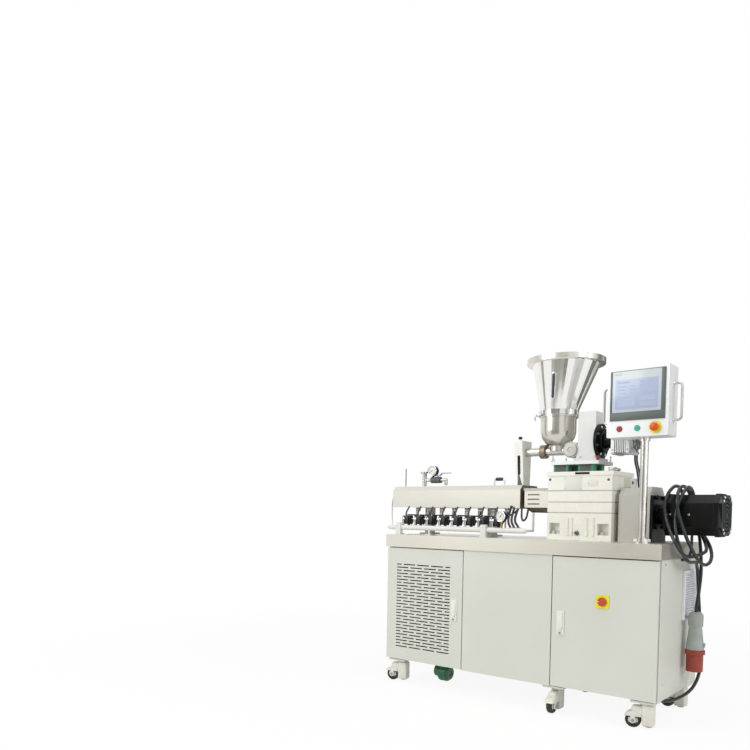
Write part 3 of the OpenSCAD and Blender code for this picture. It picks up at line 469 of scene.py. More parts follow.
# The gearbox grooves take the darker enamel as painted shade.
dress_zone(groove_shade_enamel, "gearbox", lambda p: any(abs(p.z - z) < 2.6 for z in groove_heights))
# The fan cover's ring grooves take the black enamel: painted shade in the grooves.
dress_zone(black_enamel_and_shade, "fan_cover", lambda p: 1843 < p.x < 1849.5)
dress_zone(
    heat_tint_and_shade_steel, "feed_tube",
    lambda p: 866 < p.x < 890 and math.hypot(p.y - centre_line, p.z - feed_axis) > 26,
)
dress_zone(spun_steel, "hopper_cone", lambda p: p.z > 1872.9)
dress_zone(dark_lacquer, "vent_stack", lambda p: 96 < p.x < 167 and p.z < 1270)
dress_zone(brass, "pressure_gauges", lambda p: p.x > 600 and p.z < 994)
dress_zone(red_plastic, "panel_box", lambda p: p.y < 54.9 and p.x < 1450)
dress_zone(teal_plastic, "panel_box", lambda p: p.y < 54.9 and p.x > 1450)
dress_zone(tread_rubber, "gearbox", lambda p: p.y < 177 and abs(p.x - 1142) < 18)
print("solids with two finishes:", sum(len(o.data.materials) > 1 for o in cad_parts.values()))

# %% [markdown]
# ## Small pieces
# The helpers below work as a hand does at the bench. A block is a cube brought to size with its
# edges bevelled, because no real edge is sharp.

# %% Blocks
def clear_selection():
    bpy.ops.object.select_all(action="DESELECT")


def block(low, high, edge=1.5, steps=2):
    low, high = at(*low), at(*high)
    clear_selection()
    bpy.ops.mesh.primitive_cube_add(size=1, location=(low + high) / 2)
    piece = bpy.context.object
    piece.scale = high - low
    bpy.ops.object.transform_apply(location=True, rotation=True, scale=True)
    bpy.ops.object.mode_set(mode="EDIT")
    bpy.ops.mesh.bevel(offset=edge / 1000, segments=steps, affect="EDGES")
    bpy.ops.object.mode_set(mode="OBJECT")
    return piece


print("blocks can be made")

# %% [markdown]
# A turned piece starts as a circle that is extruded and scaled from step to step, as a lathe would
# leave it. A hollow one has its two open ends bridged to a ring.

# %% Turned pieces
def turned(foot, along, profile, steps=32, hollow=False):
    clear_selection()
    radius, height = profile[0]
    bpy.ops.mesh.primitive_circle_add(
        vertices=steps, radius=radius / 1000, fill_type="NOTHING" if hollow else "NGON"
    )
    piece = bpy.context.object
    bpy.ops.object.mode_set(mode="EDIT")
    for wider, higher in profile[1:]:
        bpy.ops.mesh.extrude_region_move(
            TRANSFORM_OT_translate={"value": (0, 0, (higher - height) / 1000)}
        )
        growth = wider / radius
        bpy.ops.transform.resize(value=(growth, growth, 1), center_override=(0, 0, 0))
        radius, height = wider, higher
    if hollow:
        bpy.ops.mesh.select_mode(type="EDGE")
        bpy.ops.mesh.select_all(action="DESELECT")
        bpy.ops.mesh.select_non_manifold(extend=False, use_wire=False, use_verts=False)
        bpy.ops.mesh.bridge_edge_loops()
    bpy.ops.mesh.select_all(action="SELECT")
    bpy.ops.mesh.normals_make_consistent(inside=False)
    bpy.ops.object.mode_set(mode="OBJECT")
    tilt = Vector((0, 0, 1)).rotation_difference(Vector(along)).to_matrix().to_4x4()
    piece.matrix_world = Matrix.Translation(at(*foot)) @ tilt
    return piece


FRONT, BACK = (0, -1, 0), (0, 1, 0)
LEFT, RIGHT = (-1, 0, 0), (1, 0, 0)
UP, DOWN = (0, 0, 1), (0, 0, -1)
print("turned pieces can be made")

# %% [markdown]
# What repeats on the machine is modelled once and copied, along a row or round an axis. The copies
# are joined, because they are one piece to the model.

# %% Copying
def joined(pieces):
    clear_selection()
    for piece in pieces:
        piece.select_set(True)
    bpy.context.view_layer.objects.active = pieces[0]
    if len(pieces) > 1:
        bpy.ops.object.join()
    return bpy.context.object


def twin_of(master, matrix):
    twin = master.copy()
    twin.data = master.data.copy()
    twin.matrix_world = matrix @ master.matrix_world
    bpy.context.scene.collection.objects.link(twin)
    return twin


def copies(master, matrices):
    row = [twin_of(master, matrix) for matrix in matrices]
    bpy.data.objects.remove(master)
    return joined(row)


def repeat(master, spots):
    return copies(master, [Matrix.Translation(Vector(spot) / 1000) for spot in spots])


def circle_of(master, centre, along, angles):
    middle = Matrix.Translation(at(*centre))
    spins = [Matrix.Rotation(math.radians(a), 4, Vector(along)) for a in angles]
    return copies(master, [middle @ spin @ middle.inverted() for spin in spins])


print("pieces can be copied")

# %% [markdown]
# A finished piece has its place applied to its mesh, its sharp corners kept, its finish, and a body
# that carries it.

# %% Settling
def settle(piece, name, used, slot, body="machine"):
    joined([piece])
    bpy.ops.object.transform_apply(location=True, rotation=True, scale=True)
    bpy.ops.object.shade_smooth_by_angle(angle=math.radians(32))
    piece.name = piece.data.name = name
    piece.data.materials.clear()
    piece.data.materials.append(used)
    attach(piece, body)
    print(name, len(piece.data.polygons), "faces")
    return piece


print("pieces can be settled")

# %% [markdown]
# The screws of the machine are socket heads: a turned head, a chamfer, and a socket sunk into it.
# One is modelled at the drawing's corner and then copied to every place that has one.

# %% Screws
def screw(radius, height, along):
    profile = [(radius, 0), (radius, height * 0.75), (radius * 0.84, height)]
    profile += [(radius * 0.5, height), (radius * 0.46, height * 0.45)]
    return turned((0, 0, 0), along, profile, 14)


motor_axis, fan_face = 1048, 1850
motor_spots = [(1608, 227, 1050), (1699, 227, 1050)]
settle(repeat(screw(6, 5, FRONT), motor_spots), "motor_screws", chrome, "aluminium")
fan_spots = [
    (fan_face, centre_line + near * y, motor_axis + low * z)
    for near in (-1, 1) for low in (-1, 1) for y, z in ((54, 86), (70, 68))
]
settle(repeat(screw(6, 5, RIGHT), fan_spots), "fan_cover_screws", chrome, "aluminium")
feeder_spots = [(x, 247, z) for x in (1297, 1376) for z in (1385, 1441, 1497)]
feeder_screws = repeat(screw(4.5, 3, FRONT), feeder_spots)
settle(feeder_screws, "feeder_motor_screws", machined_steel, "aluminium")
panel_spots = [(1640, 80, 805), (1640, 91, 220)]
settle(repeat(screw(5, 2.5, RIGHT), panel_spots), "end_panel_screws", chrome, "stainless")

# %% [markdown]
# The touch panel shows a pale page: a light header, a lavender field with a lighter margin, and
# faint read-out boxes. The page is drawn by the material from the height and width on the panel.

# %% Touch screen page
page = bpy.data.materials.new("display_page")
page.use_nodes = True
page_shader = page.node_tree.nodes["Principled BSDF"]
page_shader.inputs["Roughness"].default_value = 0.22
page_place = add_node(page, "ShaderNodeTexCoord", {}, "Object")
page_axes = add_node(page, "ShaderNodeSeparateXYZ", {0: page_place}, None)
header_low, margin_low = at(0, 0, 1709).z, at(0, 0, 1561).z
half_page, page_middle = 0.105, at(1486, 0, 0).x
off_middle = add_node(
    page, "ShaderNodeMath", {0: page_axes["X"], 1: page_middle}, operation="SUBTRACT"
)
sideways = add_node(page, "ShaderNodeMath", {0: off_middle}, operation="ABSOLUTE")
in_width = add_node(page, "ShaderNodeMath", {0: sideways, 1: half_page}, operation="LESS_THAN")
above = add_node(
    page, "ShaderNodeMath", {0: page_axes["Z"], 1: margin_low}, operation="GREATER_THAN"
)
in_field = add_node(page, "ShaderNodeMath", {0: in_width, 1: above}, operation="MULTIPLY")
in_header = add_node(
    page, "ShaderNodeMath", {0: page_axes["Z"], 1: header_low}, operation="GREATER_THAN"
)
field_tones = {0: in_field, 6: colour("#C8D0E0"), 7: colour("#B1BDD6")}
field = add_node(page, "ShaderNodeMix", field_tones, 2, data_type="RGBA")
page_tones = {0: in_header, 6: field, 7: colour("#CBD0D1")}
whole = add_node(page, "ShaderNodeMix", page_tones, 2, data_type="RGBA")
page.node_tree.links.new(whole, page_shader.inputs["Base Color"])
print("page drawn by", len(page.node_tree.nodes), "nodes")

# %% [markdown]
# The glass lies in a dark bezel of a back plate and four bars. The read-out boxes are thin raised
# slabs, so they keep their sharp edges from near by.

# %% Screen, bezel and read-outs
glass = block((1366.5, 49.6, 1548.5), (1605.5, 51.5, 1749.5), 0.5)
settle(glass, "display", page, "white_plastic")
bezel_bars = [
    block(low, high, 0.8)
    for low, high in (
        ((1356, 51, 1508), (1624, 55, 1752)), ((1356, 49, 1508), (1624, 51.6, 1549)),
        ((1356, 49, 1549), (1367, 51.6, 1749)), ((1605, 49, 1549), (1624, 51.6, 1749)),
        ((1356, 49, 1749), (1624, 51.6, 1752)),
    )
]
bezel = settle(joined(bezel_bars), "screen_bezel", bezel_plastic, "bezel")
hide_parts("panel_screen")
# Read-out boxes: a shade deeper than the page, with the same gloss.
readout = finish("display_readout", "#ADB9D4", "#A6B2CE", 8, (0.22, 0.26), 0)
rows = [block((x, 49.3, z), (x + w, 50, z + h), 0.15, 1) for x, z, w, h in (
    (1380, 1732, 34, 5), (1392, 1690, 60, 8), (1392, 1672, 44, 5), (1392, 1656, 44, 5),
    (1392, 1640, 44, 5), (1450, 1672, 30, 5), (1450, 1656, 30, 5), (1450, 1640, 30, 5),
    (1500, 1690, 80, 8), (1500, 1640, 80, 38), (1392, 1576, 88, 50), (1500, 1600, 80, 26),
    (1500, 1576, 80, 14),
)]
settle(joined(rows), "display_readouts", readout, "white_plastic")

# %% [markdown]
# The two dial gauges have a black case, a white dial with ticks, a needle on a hub and a bright
# rim. One function makes both, because they differ only in place, size and reading.

# %% Dial gauges
def dial(name, x, y, z, r, needle_turn):
    rim = [(r - 4.5, 0), (r + 0.5, 0), (r + 0.5, 3), (r - 1, 5), (r - 4.5, 4)]
    settle(turned((x, y, z), FRONT, rim, 40, True), name + "_rim", chrome, "aluminium")
    face = turned((x, y, z), FRONT, [(r - 4, 0), (r - 4, 0.8), (r - 6, 1.2)], 40)
    settle(face, name + "_dial", white_plastic, "white_plastic")
    tick = block((x - 0.5, y - 1.9, z + r - 12), (x + 0.5, y - 1, z + r - 7), 0.15, 1)
    ticks = circle_of(tick, (x, y, z), BACK, range(-135, 136, 27))
    needle = block((x - 0.8, y - 2.6, z - 5), (x + 0.8, y - 1.9, z + r - 9), 0.2, 1)
    needle = circle_of(needle, (x, y, z), BACK, [needle_turn])
    hub = turned((x, y, z), FRONT, [(3.5, 1), (3.5, 2.6), (2.5, 3.4)], 16)
    settle(joined([ticks, needle, hub]), name + "_needle", black_plastic, "black_plastic")


dial("vacuum_gauge", 107, 305, 1306, 33, -120)
dial("water_gauge", 731, 85, 1025, 30, 40)

# %% [markdown]
# Each cooling zone has a solenoid valve. A moulded cover with a connector is slipped over its coil,
# a bright union screws into its left side, and a nut holds the coil. One set is modelled and then
# copied along the row.

# %% Valve fittings
first_valve, valve_pitch = 45, 91
valve_places = [first_valve + valve_pitch * i for i in range(8)]
valve_spots = [(x, 150, 0) for x in valve_places]
coil = block((-42, -15, 968), (20, 21, 1021), 4, 3)
connector = block((-14, -29, 976), (14, -13, 1013), 2.5)
label_step = block((-36, -17, 980), (-18, -14, 1010), 1)
cover = joined([coil, connector, label_step])
settle(repeat(cover, valve_spots), "valve_coils", black_plastic, "black_plastic")
union = turned((-16, 0, 947), LEFT, [(9, 0), (9, 5), (6, 5), (6, 9), (8, 9), (8, 15), (5, 17)], 18)
settle(repeat(union, valve_spots), "valve_unions", chrome, "bare_steel")
nut = turned((-11, 3, 1021), UP, [(8, 0), (8, 4), (6.5, 5.5), (3.5, 5.5), (3.5, 9)], 12)
settle(repeat(nut, valve_spots), "valve_coil_nuts", chrome, "bare_steel")

# %% [markdown]
# The hopper stands on its bowl in a clamp band: a ring bent from thin strip, closed over both
# flanges. A hollow turned ring gives it both its faces.

# %% Hopper clamp band
hopper_axis, band_height = (955, centre_line), 1595
band_profile = [(108.2, -13), (111, -12), (111, 12), (108.2, 13)]
band = turned((*hopper_axis, band_height), UP, band_profile, 96, True)
settle(band, "hopper_clamp_band", chrome, "stainless")

# %% [markdown]
# Two plates are riveted to the gearbox. They carry no print, so they are bare enamelled plates with
# soft edges. The rivet is a small dome, modelled once and copied to their corners.

# %% Gearbox plates
# Bare name plates: the casting's ivory, a shade greyer and flat.
plate_enamel = finish("ivory_plate_enamel", "#EAE9E1", "#DEDDD5", 4, (0.4, 0.5), 0.03)
plates = [
    block((1065, 176.6, 1174), (1165, 178.2, 1243), 0.6),
    block((1198, 176.6, 1193), (1253, 178.2, 1224), 0.6),
]
settle(joined(plates), "gearbox_plates", plate_enamel, "ivory_casting")
rivet_spots = [(x, 176.8, z) for x in (1070, 1160) for z in (1179, 1238)]
rivet_spots += [(x, 176.8, 1208.5) for x in (1202, 1249)]
rivet = turned((0, 0, 0), FRONT, [(2.4, 0), (2.2, 0.8), (1.2, 1.4)], 12)
settle(repeat(rivet, rivet_spots), "gearbox_rivets", machined_steel, "aluminium")

# %% [markdown]
# The isolator is a rotary switch. A short white mark on the knob shows which way it points, and it
# rides on the knob, so that it turns with it.

# %% Isolator pointer
knob_front = (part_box("isolator_knob")[0].y - corner.y) * 1000
pointer = block((1342, knob_front - 1, 607), (1353, knob_front + 1, 611), 0.8)
settle(pointer, "isolator_pointer", white_plastic, "white_plastic", "isolator_knob")

# %% [markdown]
# Pipes, hoses and bent handles are all a round section carried along a path. A curve with a bevel
# does that; where a tube is bent on a former, its corners are rounded before the section is swept.
# The curve is then made a mesh, so that it can be finished like any other piece.

# %% Tubes
def tube(path, thickness, bend=0):
    places = [at(*place) for place in path]
    if bend:
        rounded = [places[0]]
        for before, knee, after in zip(places, places[1:], places[2:]):
            into = (before - knee).normalized() * bend / 1000
            out = (after - knee).normalized() * bend / 1000
            rounded += [knee + into * (1 - t / 6) ** 2 + out * (t / 6) ** 2 for t in range(7)]
        places = rounded + [places[-1]]
    piece = swept("tube", places, thickness, kind="POLY" if bend else "BEZIER")
    joined([piece])
    bpy.ops.object.convert(target="MESH")
    bpy.ops.object.mode_set(mode="EDIT")
    bpy.ops.mesh.select_all(action="SELECT")
    bpy.ops.mesh.remove_doubles(threshold=0.00002)
    bpy.ops.mesh.normals_make_consistent(inside=False)
    bpy.ops.object.mode_set(mode="OBJECT")
    return piece


print("tube helper ready")

# %% [markdown]
# The panel is turned by two tube handles. Each is one piece of tube with two soft bends, welded
# into small flanges, and it takes the place of the plain handle solid.

# %% Panel handles
handle_parts = []
for wall, reach, outward in ((1340, 1300, LEFT), (1640, 1680, RIGHT)):
    path = [(wall, 120, 1505), (reach, 120, 1505), (reach, 120, 1681), (wall, 120, 1681)]
    handle_parts.append(tube(path, 13, 18))
    handle_parts += [
        turned((wall, 120, z), outward, [(12, 0), (12, 2.5), (8, 5), (7, 6)], 24)
        for z in (1505, 1681)
    ]
panel_grips = settle(joined(handle_parts), "panel_grips", tube_steel, "stainless")
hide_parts("panel_handles")

# %% [markdown]
# The hood is lifted by a bent steel bow with a black sleeve pushed over it. The bow is a tube with
# two bends on turned feet, and the sleeve is turned with a slight belly for the hand.

# %% Hood handle
bow = tube([(553, 320, 1205), (553, 320, 1247), (621, 320, 1247), (621, 320, 1205)], 10, 16)
feet = [turned((x, 320, 1206), UP, [(11, 0), (11, 3), (7, 5), (5.5, 9)], 20) for x in (553, 621)]
hood_bow = settle(joined([bow] + feet), "hood_bow", chrome, "aluminium")
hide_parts("hood_handle")
sleeve = turned((563, 320, 1247), RIGHT, [(7, 0), (9.5, 2), (10.5, 24), (9.5, 46), (7, 48)], 24)
settle(sleeve, "hood_bow_sleeve", black_plastic, "black_plastic")

# %% [markdown]
# In front of every solenoid valve stands a needle valve with a winged handle, which sets the flow
# of its zone. The wings are one bar turned round the stem. One valve is modelled and copied.

# %% Needle valves
needle_body = turned(
    (-24, 134, 1003), FRONT, [(8, 0), (8, 6), (11, 6), (11, 12), (6, 12), (6, 18), (4, 19)], 16
)
wing = block((-26.5, 113, 1003), (-21.5, 118, 1019), 1.5)
wings = circle_of(wing, (-24, 115, 1003), FRONT, (0, 90, 180, 270))
stem = turned((-24, 124, 994), DOWN, [(6, 0), (6, 30), (9, 30), (9, 38)], 12)
zone_spots = [(x, 0, 0) for x in valve_places]
needle_valve = joined([needle_body, wings, stem])
settle(repeat(needle_valve, zone_spots), "needle_valves", chrome, "bare_steel")

# %% [markdown]
# Under the hood each zone has an elbow with a short branch. A braided hose hangs from it down to
# the valve; every second hose wears a black heat sleeve.

# %% Elbows and braided hoses under the hood
elbow_profile = [(7, 0), (7, 14), (12, 14), (12, 24), (8, 25), (8, 32), (10, 32), (10, 40)]
elbow = turned((18, 226, 1090), DOWN, elbow_profile, 14)
tee = turned((4, 226, 1056), RIGHT, [(6, 0), (6, 4), (8, 4), (8, 24), (6, 24), (6, 28)], 14)
settle(repeat(joined([elbow, tee]), zone_spots), "hood_elbows", machined_steel, "bare_steel")
hose_top, hose_foot = (18, 226, 1052), (4, 172, 966)
braid = tube([hose_top, (20, 214, 1030), (14, 196, 1006), (8, 182, 985), hose_foot], 11)
settle(repeat(braid, zone_spots[::2]), "braided_hoses", clear_hose, "white_plastic")
dark_braid = tube([hose_top, (26, 208, 1034), (20, 192, 1008), (10, 180, 985), hose_foot], 11)
settle(repeat(dark_braid, zone_spots[1::2]), "heat_hoses", cord_rubber, "cord_rubber")

# %% [markdown]
# The cables of the coils are thin and limp. Each goes up from its connector cap and back under the
# hood, and one trunk cable lies along the row behind the coils.

# %% Coil cables
lead_path = [(0, 126, 1010), (-3, 126, 1030), (-16, 150, 1048), (-34, 190, 1066), (-46, 228, 1092)]
lead = tube(lead_path, 10)
settle(repeat(lead, zone_spots), "coil_leads", black_plastic, "black_plastic")
cap = turned((0, 124, 1013), UP, [(7, 0), (7, 4), (5, 6)], 14)
settle(repeat(cap, zone_spots), "connector_caps", slate_plastic, "black_plastic")
trunk_path = [(20, 160, 1026), (200, 161, 1025), (400, 160, 1026), (600, 161, 1025)]
trunk = tube(trunk_path + [(742, 190, 1036), (772, 236, 1084)], 9)
settle(trunk, "valve_cable_trunk", black_plastic, "black_plastic")

# %% [markdown]
# Right of the water gauge, a bundle of rubber hoses drops from under the hood to the manifold, and
# one hangs in a loop below the feed port. They are limp, so they take curves with slack in them.

# %% Hose bundle
bundle_paths = [
    [(752, 214, 1086), (750, 190, 1040), (758, 166, 1000), (784, 140, 972), (806, 118, 958)],
    [(775, 222, 1086), (772, 196, 1046), (776, 172, 1004), (806, 146, 974), (832, 120, 958)],
    [(736, 200, 1086), (734, 180, 1036), (742, 158, 996), (766, 134, 968), (784, 114, 957)],
]
loop_path = [
    (800, 206, 1086), (801, 202, 1050), (806, 196, 1018), (818, 192, 1004), (831, 196, 1016),
    (836, 204, 1046), (838, 210, 1072),
]
bundle = [tube(path, 13) for path in bundle_paths] + [tube(loop_path, 11)]
settle(joined(bundle), "hose_bundle", cord_rubber, "cord_rubber")
nipple_spots = ((808, 116), (834, 118), (786, 112))
ends = [turned((x, y, 955), UP, [(9, 0), (9, 8), (7, 10)], 12) for x, y in nipple_spots]
settle(joined(ends), "hose_nipples", brass, "bare_steel")

# %% [markdown]
# At the die end a milky tube leaves the barrel and bends down to the manifold. It is stiffer than a
# rubber hose, so its path has one even bend.

# %% Die-end tube
die_tube = tube([(-112, 262, 1160), (-132, 240, 1160), (-143, 226, 1118), (-142, 218, 1060),
                 (-130, 206, 1000), (-106, 182, 962), (-76, 140, 949), (-60, 116, 948)], 8)
settle(die_tube, "die_end_tube", clear_hose, "white_plastic")

# %% [markdown]
# The hopper's toggle clamp pulls the band tight: a screw with a nut on one ear, and a lever that
# folds against the band on the other.

# %% Hopper toggle
ears = [block((860, 246, 1586), (875, 258, 1604), 2), block((888, 229, 1586), (903, 242, 1604), 2)]
bolt_profile = [(7, 0), (7, 7), (4, 7), (4, 46), (7, 46), (7, 52)]
bolt = turned((853, 250, 1595), (0.87, -0.5, 0), bolt_profile, 14)
lever = tube([(866, 242, 1595), (848, 246, 1588), (841, 258, 1578), (841, 268, 1570)], 7)
settle(joined(ears + [bolt, lever]), "hopper_toggle", chrome, "stainless")

# %% [markdown]
# A sight glass lies along the hopper's cone, a little right of its front line. A piece is modelled
# upright and then leant on the cone: its long axis follows the slope between two points of the
# steel, and its face looks outwards.

# %% Leaning on the cone
cone_low, cone_high = Vector((*hopper_axis, 1607)), Vector((992, centre_line, 1873))
low_radius, high_radius = 98, 184
glass_low, glass_high = 1677, 1807
glass_turn = math.radians(5)


def on_cone(z):
    share = (z - cone_low.z) / (cone_high.z - cone_low.z)
    radius = low_radius + (high_radius - low_radius) * share
    middle = cone_low.lerp(cone_high, share)
    return middle + Vector((math.sin(glass_turn), -math.cos(glass_turn), 0)) * radius


def lean_on_cone(piece, low_z, high_z):
    low, high = on_cone(low_z), on_cone(high_z)
    upward_line = (high - low).normalized()
    sideways_line = Vector((math.cos(glass_turn), math.sin(glass_turn), 0))
    inward_line = upward_line.cross(sideways_line).normalized()
    sideways_line = inward_line.cross(upward_line)
    turned_axes = Matrix((sideways_line, inward_line, upward_line)).transposed().to_4x4()
    seat = Matrix.Translation(at(*low)) @ turned_axes @ Matrix.Translation(-corner)
    piece.matrix_world = seat @ piece.matrix_world
    return piece


print("sight glass from", glass_low, "to", glass_high, "mm")

# %% [markdown]
# The pane is smoked acrylic in a thin bright frame. Both are long capsules, turned and then pressed
# flat.

# %% Sight glass
def flat_capsule(radius, length, thickness):
    cap = [(math.sin(math.radians(a)), 1 - math.cos(math.radians(a))) for a in (12, 35, 60, 90)]
    profile = [(radius * wide, radius * high) for wide, high in cap]
    profile += [(radius * wide, length - radius * high) for wide, high in reversed(cap)]
    piece = turned((0, 0, 0), UP, profile, 24)
    piece.matrix_world @= Matrix.Diagonal((1, thickness / (2 * radius), 1, 1))
    return piece


glass_length = (on_cone(glass_high) - on_cone(glass_low)).length
pane = lean_on_cone(flat_capsule(9.5, glass_length, 11), glass_low, glass_high)
settle(pane, "sight_glass", smoked_glass, "stainless")
frame_plate = flat_capsule(14, glass_length + 10, 8)
lean_on_cone(frame_plate, glass_low - 5, glass_high - 5)
settle(frame_plate, "sight_glass_frame", chrome, "stainless")

# %% [markdown]
# The weighing unit under the feeder: green end caps on the slate load cells, levelling posts, a red
# transport lock and a junction box with two glands. The posts are turned with their nut and thread
# in one piece.

# %% Weighing unit
cell_ends = [
    block((x, y - 1.5, 1273), (x + 13, y + 41.5, 1312.5), 1.5)
    for x in (969, 1042, 1112, 1185) for y in (245, 355)
]
settle(joined(cell_ends), "load_cell_ends", green_plastic, "pump_green")
fins = [
    block((x + 16, 243.6, z), (x + 68, 246, z + 4), 0.8)
    for x in (970, 1113) for z in range(1279, 1308, 8)
]
settle(joined(fins), "load_cell_fins", slate_plastic, "black_plastic")
wide_post = [(15, 0), (15, 4), (6, 6), (6, 10), (9, 10), (9, 15), (4, 16), (4, 34)]
slim_post = [(9, 0), (9, 4), (5, 6), (5, 10), (8, 10), (8, 15), (4, 16), (4, 34)]
post = [
    turned((x, y, 1331.5), UP, profile, 16)
    for x, y, profile in ((970, 232, wide_post), (970, 400, wide_post), (1226, 410, slim_post))
]
settle(joined(post), "levelling_posts", chrome, "aluminium")
red_cap = turned((1225, 234, 1331.5), UP, [(7, 0), (7, 8), (10, 9), (10, 22), (8, 25), (3, 25)], 18)
settle(red_cap, "transport_lock", red_plastic, "red_plastic")
junction = block((1262, 288, 1271.8), (1298, 332, 1298), 3)
glands = [
    turned((1298, y, 1285), RIGHT, [(9, 0), (9, 8), (7, 9), (7, 16), (5, 18)], 12)
    for y in (299, 321)
]
settle(joined([junction] + glands), "weigh_junction", machined_steel, "aluminium")
bar = block((1128, 168.8, 1256.5), (1207, 173, 1267.5), 1.2)
settle(bar, "overload_stop", black_enamel_and_shade, "black_paint")

# %% [markdown]
# The feeder's gear flange carries a ring of bolts, its motor a fan grille with swept blades, and
# the column stands on four bolts. Bolts and blades are copied round the feeder's axis.

# %% Feeder bolts and fan
feeder_axis = 1441
flange_bolt = turned((1214, 320, 1518), RIGHT, [(7, 0), (7, 5), (5.5, 6), (3, 6), (3, 3)], 8)
ring = circle_of(flange_bolt, (1214, centre_line, feeder_axis), RIGHT, range(20, 380, 45))
settle(ring, "flange_bolts", chrome, "aluminium")
blade = tube([(1399, 320, 1454), (1400, 328, 1470), (1399, 346, 1485), (1399, 366, 1489)], 7)
blades = circle_of(blade, (1399, centre_line, feeder_axis), RIGHT, range(0, 360, 45))
fan_middle = (1396.5, centre_line, feeder_axis)
grille_rim = turned(fan_middle, RIGHT, [(50, 0), (57, 0), (57, 5), (54, 7), (50, 5)], 40, True)
hub = turned(fan_middle, RIGHT, [(16, 0), (16, 6), (12, 8)], 24)
settle(joined([blades, grille_rim, hub]), "feeder_fan", slate_plastic, "black_plastic")
plate_bolt = turned((1385, 0, 0), RIGHT, [(6, 0), (6, 5), (4.5, 6), (2.5, 6), (2.5, 3)], 8)
plate_spots = [(0, y, z) for y in (258, 382) for z in (1374, 1508)]
settle(repeat(plate_bolt, plate_spots), "feeder_plate_bolts", machined_steel, "aluminium")
column_bolt = turned((0, 0, 1347.5), UP, [(11, 0), (11, 3), (8, 3), (8, 10), (6, 12)], 6)
column_spots = [(x, y, 0) for x in (1110, 1196) for y in (253, 387)]
settle(repeat(column_bolt, column_spots), "column_bolts", white_plastic, "white_paint")
lid_profile = [(40, 0), (40, 5), (36, 8), (14, 8), (12, 5), (5, 5)]
housing_lid = turned((1058, 260, feed_axis), FRONT, lid_profile, 40)
settle(housing_lid, "auger_lid", machined_steel, "aluminium")

# %% [markdown]
# Fixings of the gearbox and the pole: bolts in the foot pockets, plug screws near the top corners,
# a sight glass for the oil, and white caps on the nuts of the pole's foot. All are turned pieces.

# %% Gearbox and pole fixings
foot_bolt = turned((0, 0, 934.5), UP, [(15, 0), (15, 3), (10, 3), (10, 15), (7, 18)], 6)
foot_spots = [(x, y, 0) for x in (1000, 1030, 1276, 1304) for y in (196, 444)]
settle(repeat(foot_bolt, foot_spots), "gearbox_foot_bolts", cast_aluminium, "aluminium")
plug_screw = turned((0, 178.5, 0), FRONT, [(7, 0), (7, 1.6), (5.5, 2.4), (3, 2.4), (3, 1)], 16)
plug_screws = repeat(plug_screw, [(982, 0, 1231), (1309, 0, 1226)])
settle(plug_screws, "gearbox_plug_screws", slate_plastic, "bezel")
oil_rim = turned((1142, 172, 943), FRONT, [(8, 0), (12.5, 0), (12.5, 3), (10, 4), (8, 2)], 28, True)
settle(oil_rim, "oil_sight_rim", machined_steel, "bare_steel")
oil_glass = turned((1142, 172.4, 943), FRONT, [(8.2, 0), (8.2, 1), (6, 1.8)], 28)
settle(oil_glass, "oil_sight", smoked_glass, "black_plastic")
rear_bolt = turned((1366, 366, 1216), RIGHT, [(9, 0), (9, 4), (5, 6)], 14)
settle(rear_bolt, "rear_block_bolt", slate_plastic, "bezel")
cap_nut = turned((0, 0, 912.5), UP, [(10, 0), (10, 8), (8, 12), (4, 14)], 18)
pole_x, pole_y = 1510, 120
cap_spots = [(pole_x + x, pole_y + y, 0) for x in (-25, 25) for y in (-22, 22)]
settle(repeat(cap_nut, cap_spots), "pole_cap_nuts", white_plastic, "white_plastic")

# %% [markdown]
# Door furniture: a paddle in each flush latch and a small lock cylinder below it. Both ride on the
# door, so that they swing with it.

# %% Latch paddles and locks
lock_profile = [(6, 0), (6, 1.6), (4.6, 2.2), (1.6, 2.2), (1.4, 0.8)]
for latch, door in (("left_latch", "left_door"), ("right_latch", "right_door")):
    low, high = ((place - corner) * 1000 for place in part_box(latch))
    middle = (low.x + high.x) / 2
    paddle_low = (middle - 10, low.y - 1.5, low.z + 28)
    paddle = block(paddle_low, (middle + 10, low.y + 2.5, high.z - 26), 2)
    settle(paddle, latch + "_paddle", white_plastic, "white_plastic", door)
    lock = turned((middle, low.y + 0.3, low.z + 11), FRONT, lock_profile, 20)
    settle(lock, latch + "_lock", machined_steel, "bare_steel", door)

# %% [markdown]
# The filter grille on the right end: a moulded frame with a row of slanting slats before a pale
# filter mat. A slat is one bar with soft edges, tipped and then copied up the frame.

# %% Side grille
vent_low, vent_high = ((place - corner) * 1000 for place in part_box("side_vent"))
wall, face = vent_low.x + 1, vent_high.x
# Filter wool: a pale grey felt without gloss.
filter_wool = finish("grey_filter_wool", "#E6E8EB", "#D5D8DC", 6, (0.8, 0.9), 0.4)
mat_low = (wall, vent_low.y + 8, vent_low.z + 8)
mat = block(mat_low, (wall + 2, vent_high.y - 8, vent_high.z - 8), 0.5)
settle(mat, "filter_mat", filter_wool, "white_plastic")
rail, slats = 14, 18
border = [
    block((wall - 1, vent_low.y, low_z), (face, vent_high.y, low_z + rail), 3, 3)
    for low_z in (vent_low.z, vent_high.z - rail)
]
border += [
    block((wall - 1, low_y, vent_low.z + 8), (face, low_y + rail, vent_high.z - 8), 3, 3)
    for low_y in (vent_low.y, vent_high.y - rail)
]
slat_step = (vent_high.z - vent_low.z - 2 * rail) / slats
slat_z = vent_low.z + rail + slat_step / 2
slat_middle = ((wall + face) / 2, (vent_low.y + vent_high.y) / 2, slat_z)
slat_low = (wall + 2, vent_low.y + 10, slat_z - 2.6)
slat = block(slat_low, (face - 1, vent_high.y - 10, slat_z + 2.6), 1)
slat = circle_of(slat, slat_middle, BACK, [-32])
border.append(repeat(slat, [(0, 0, slat_step * i) for i in range(slats)]))
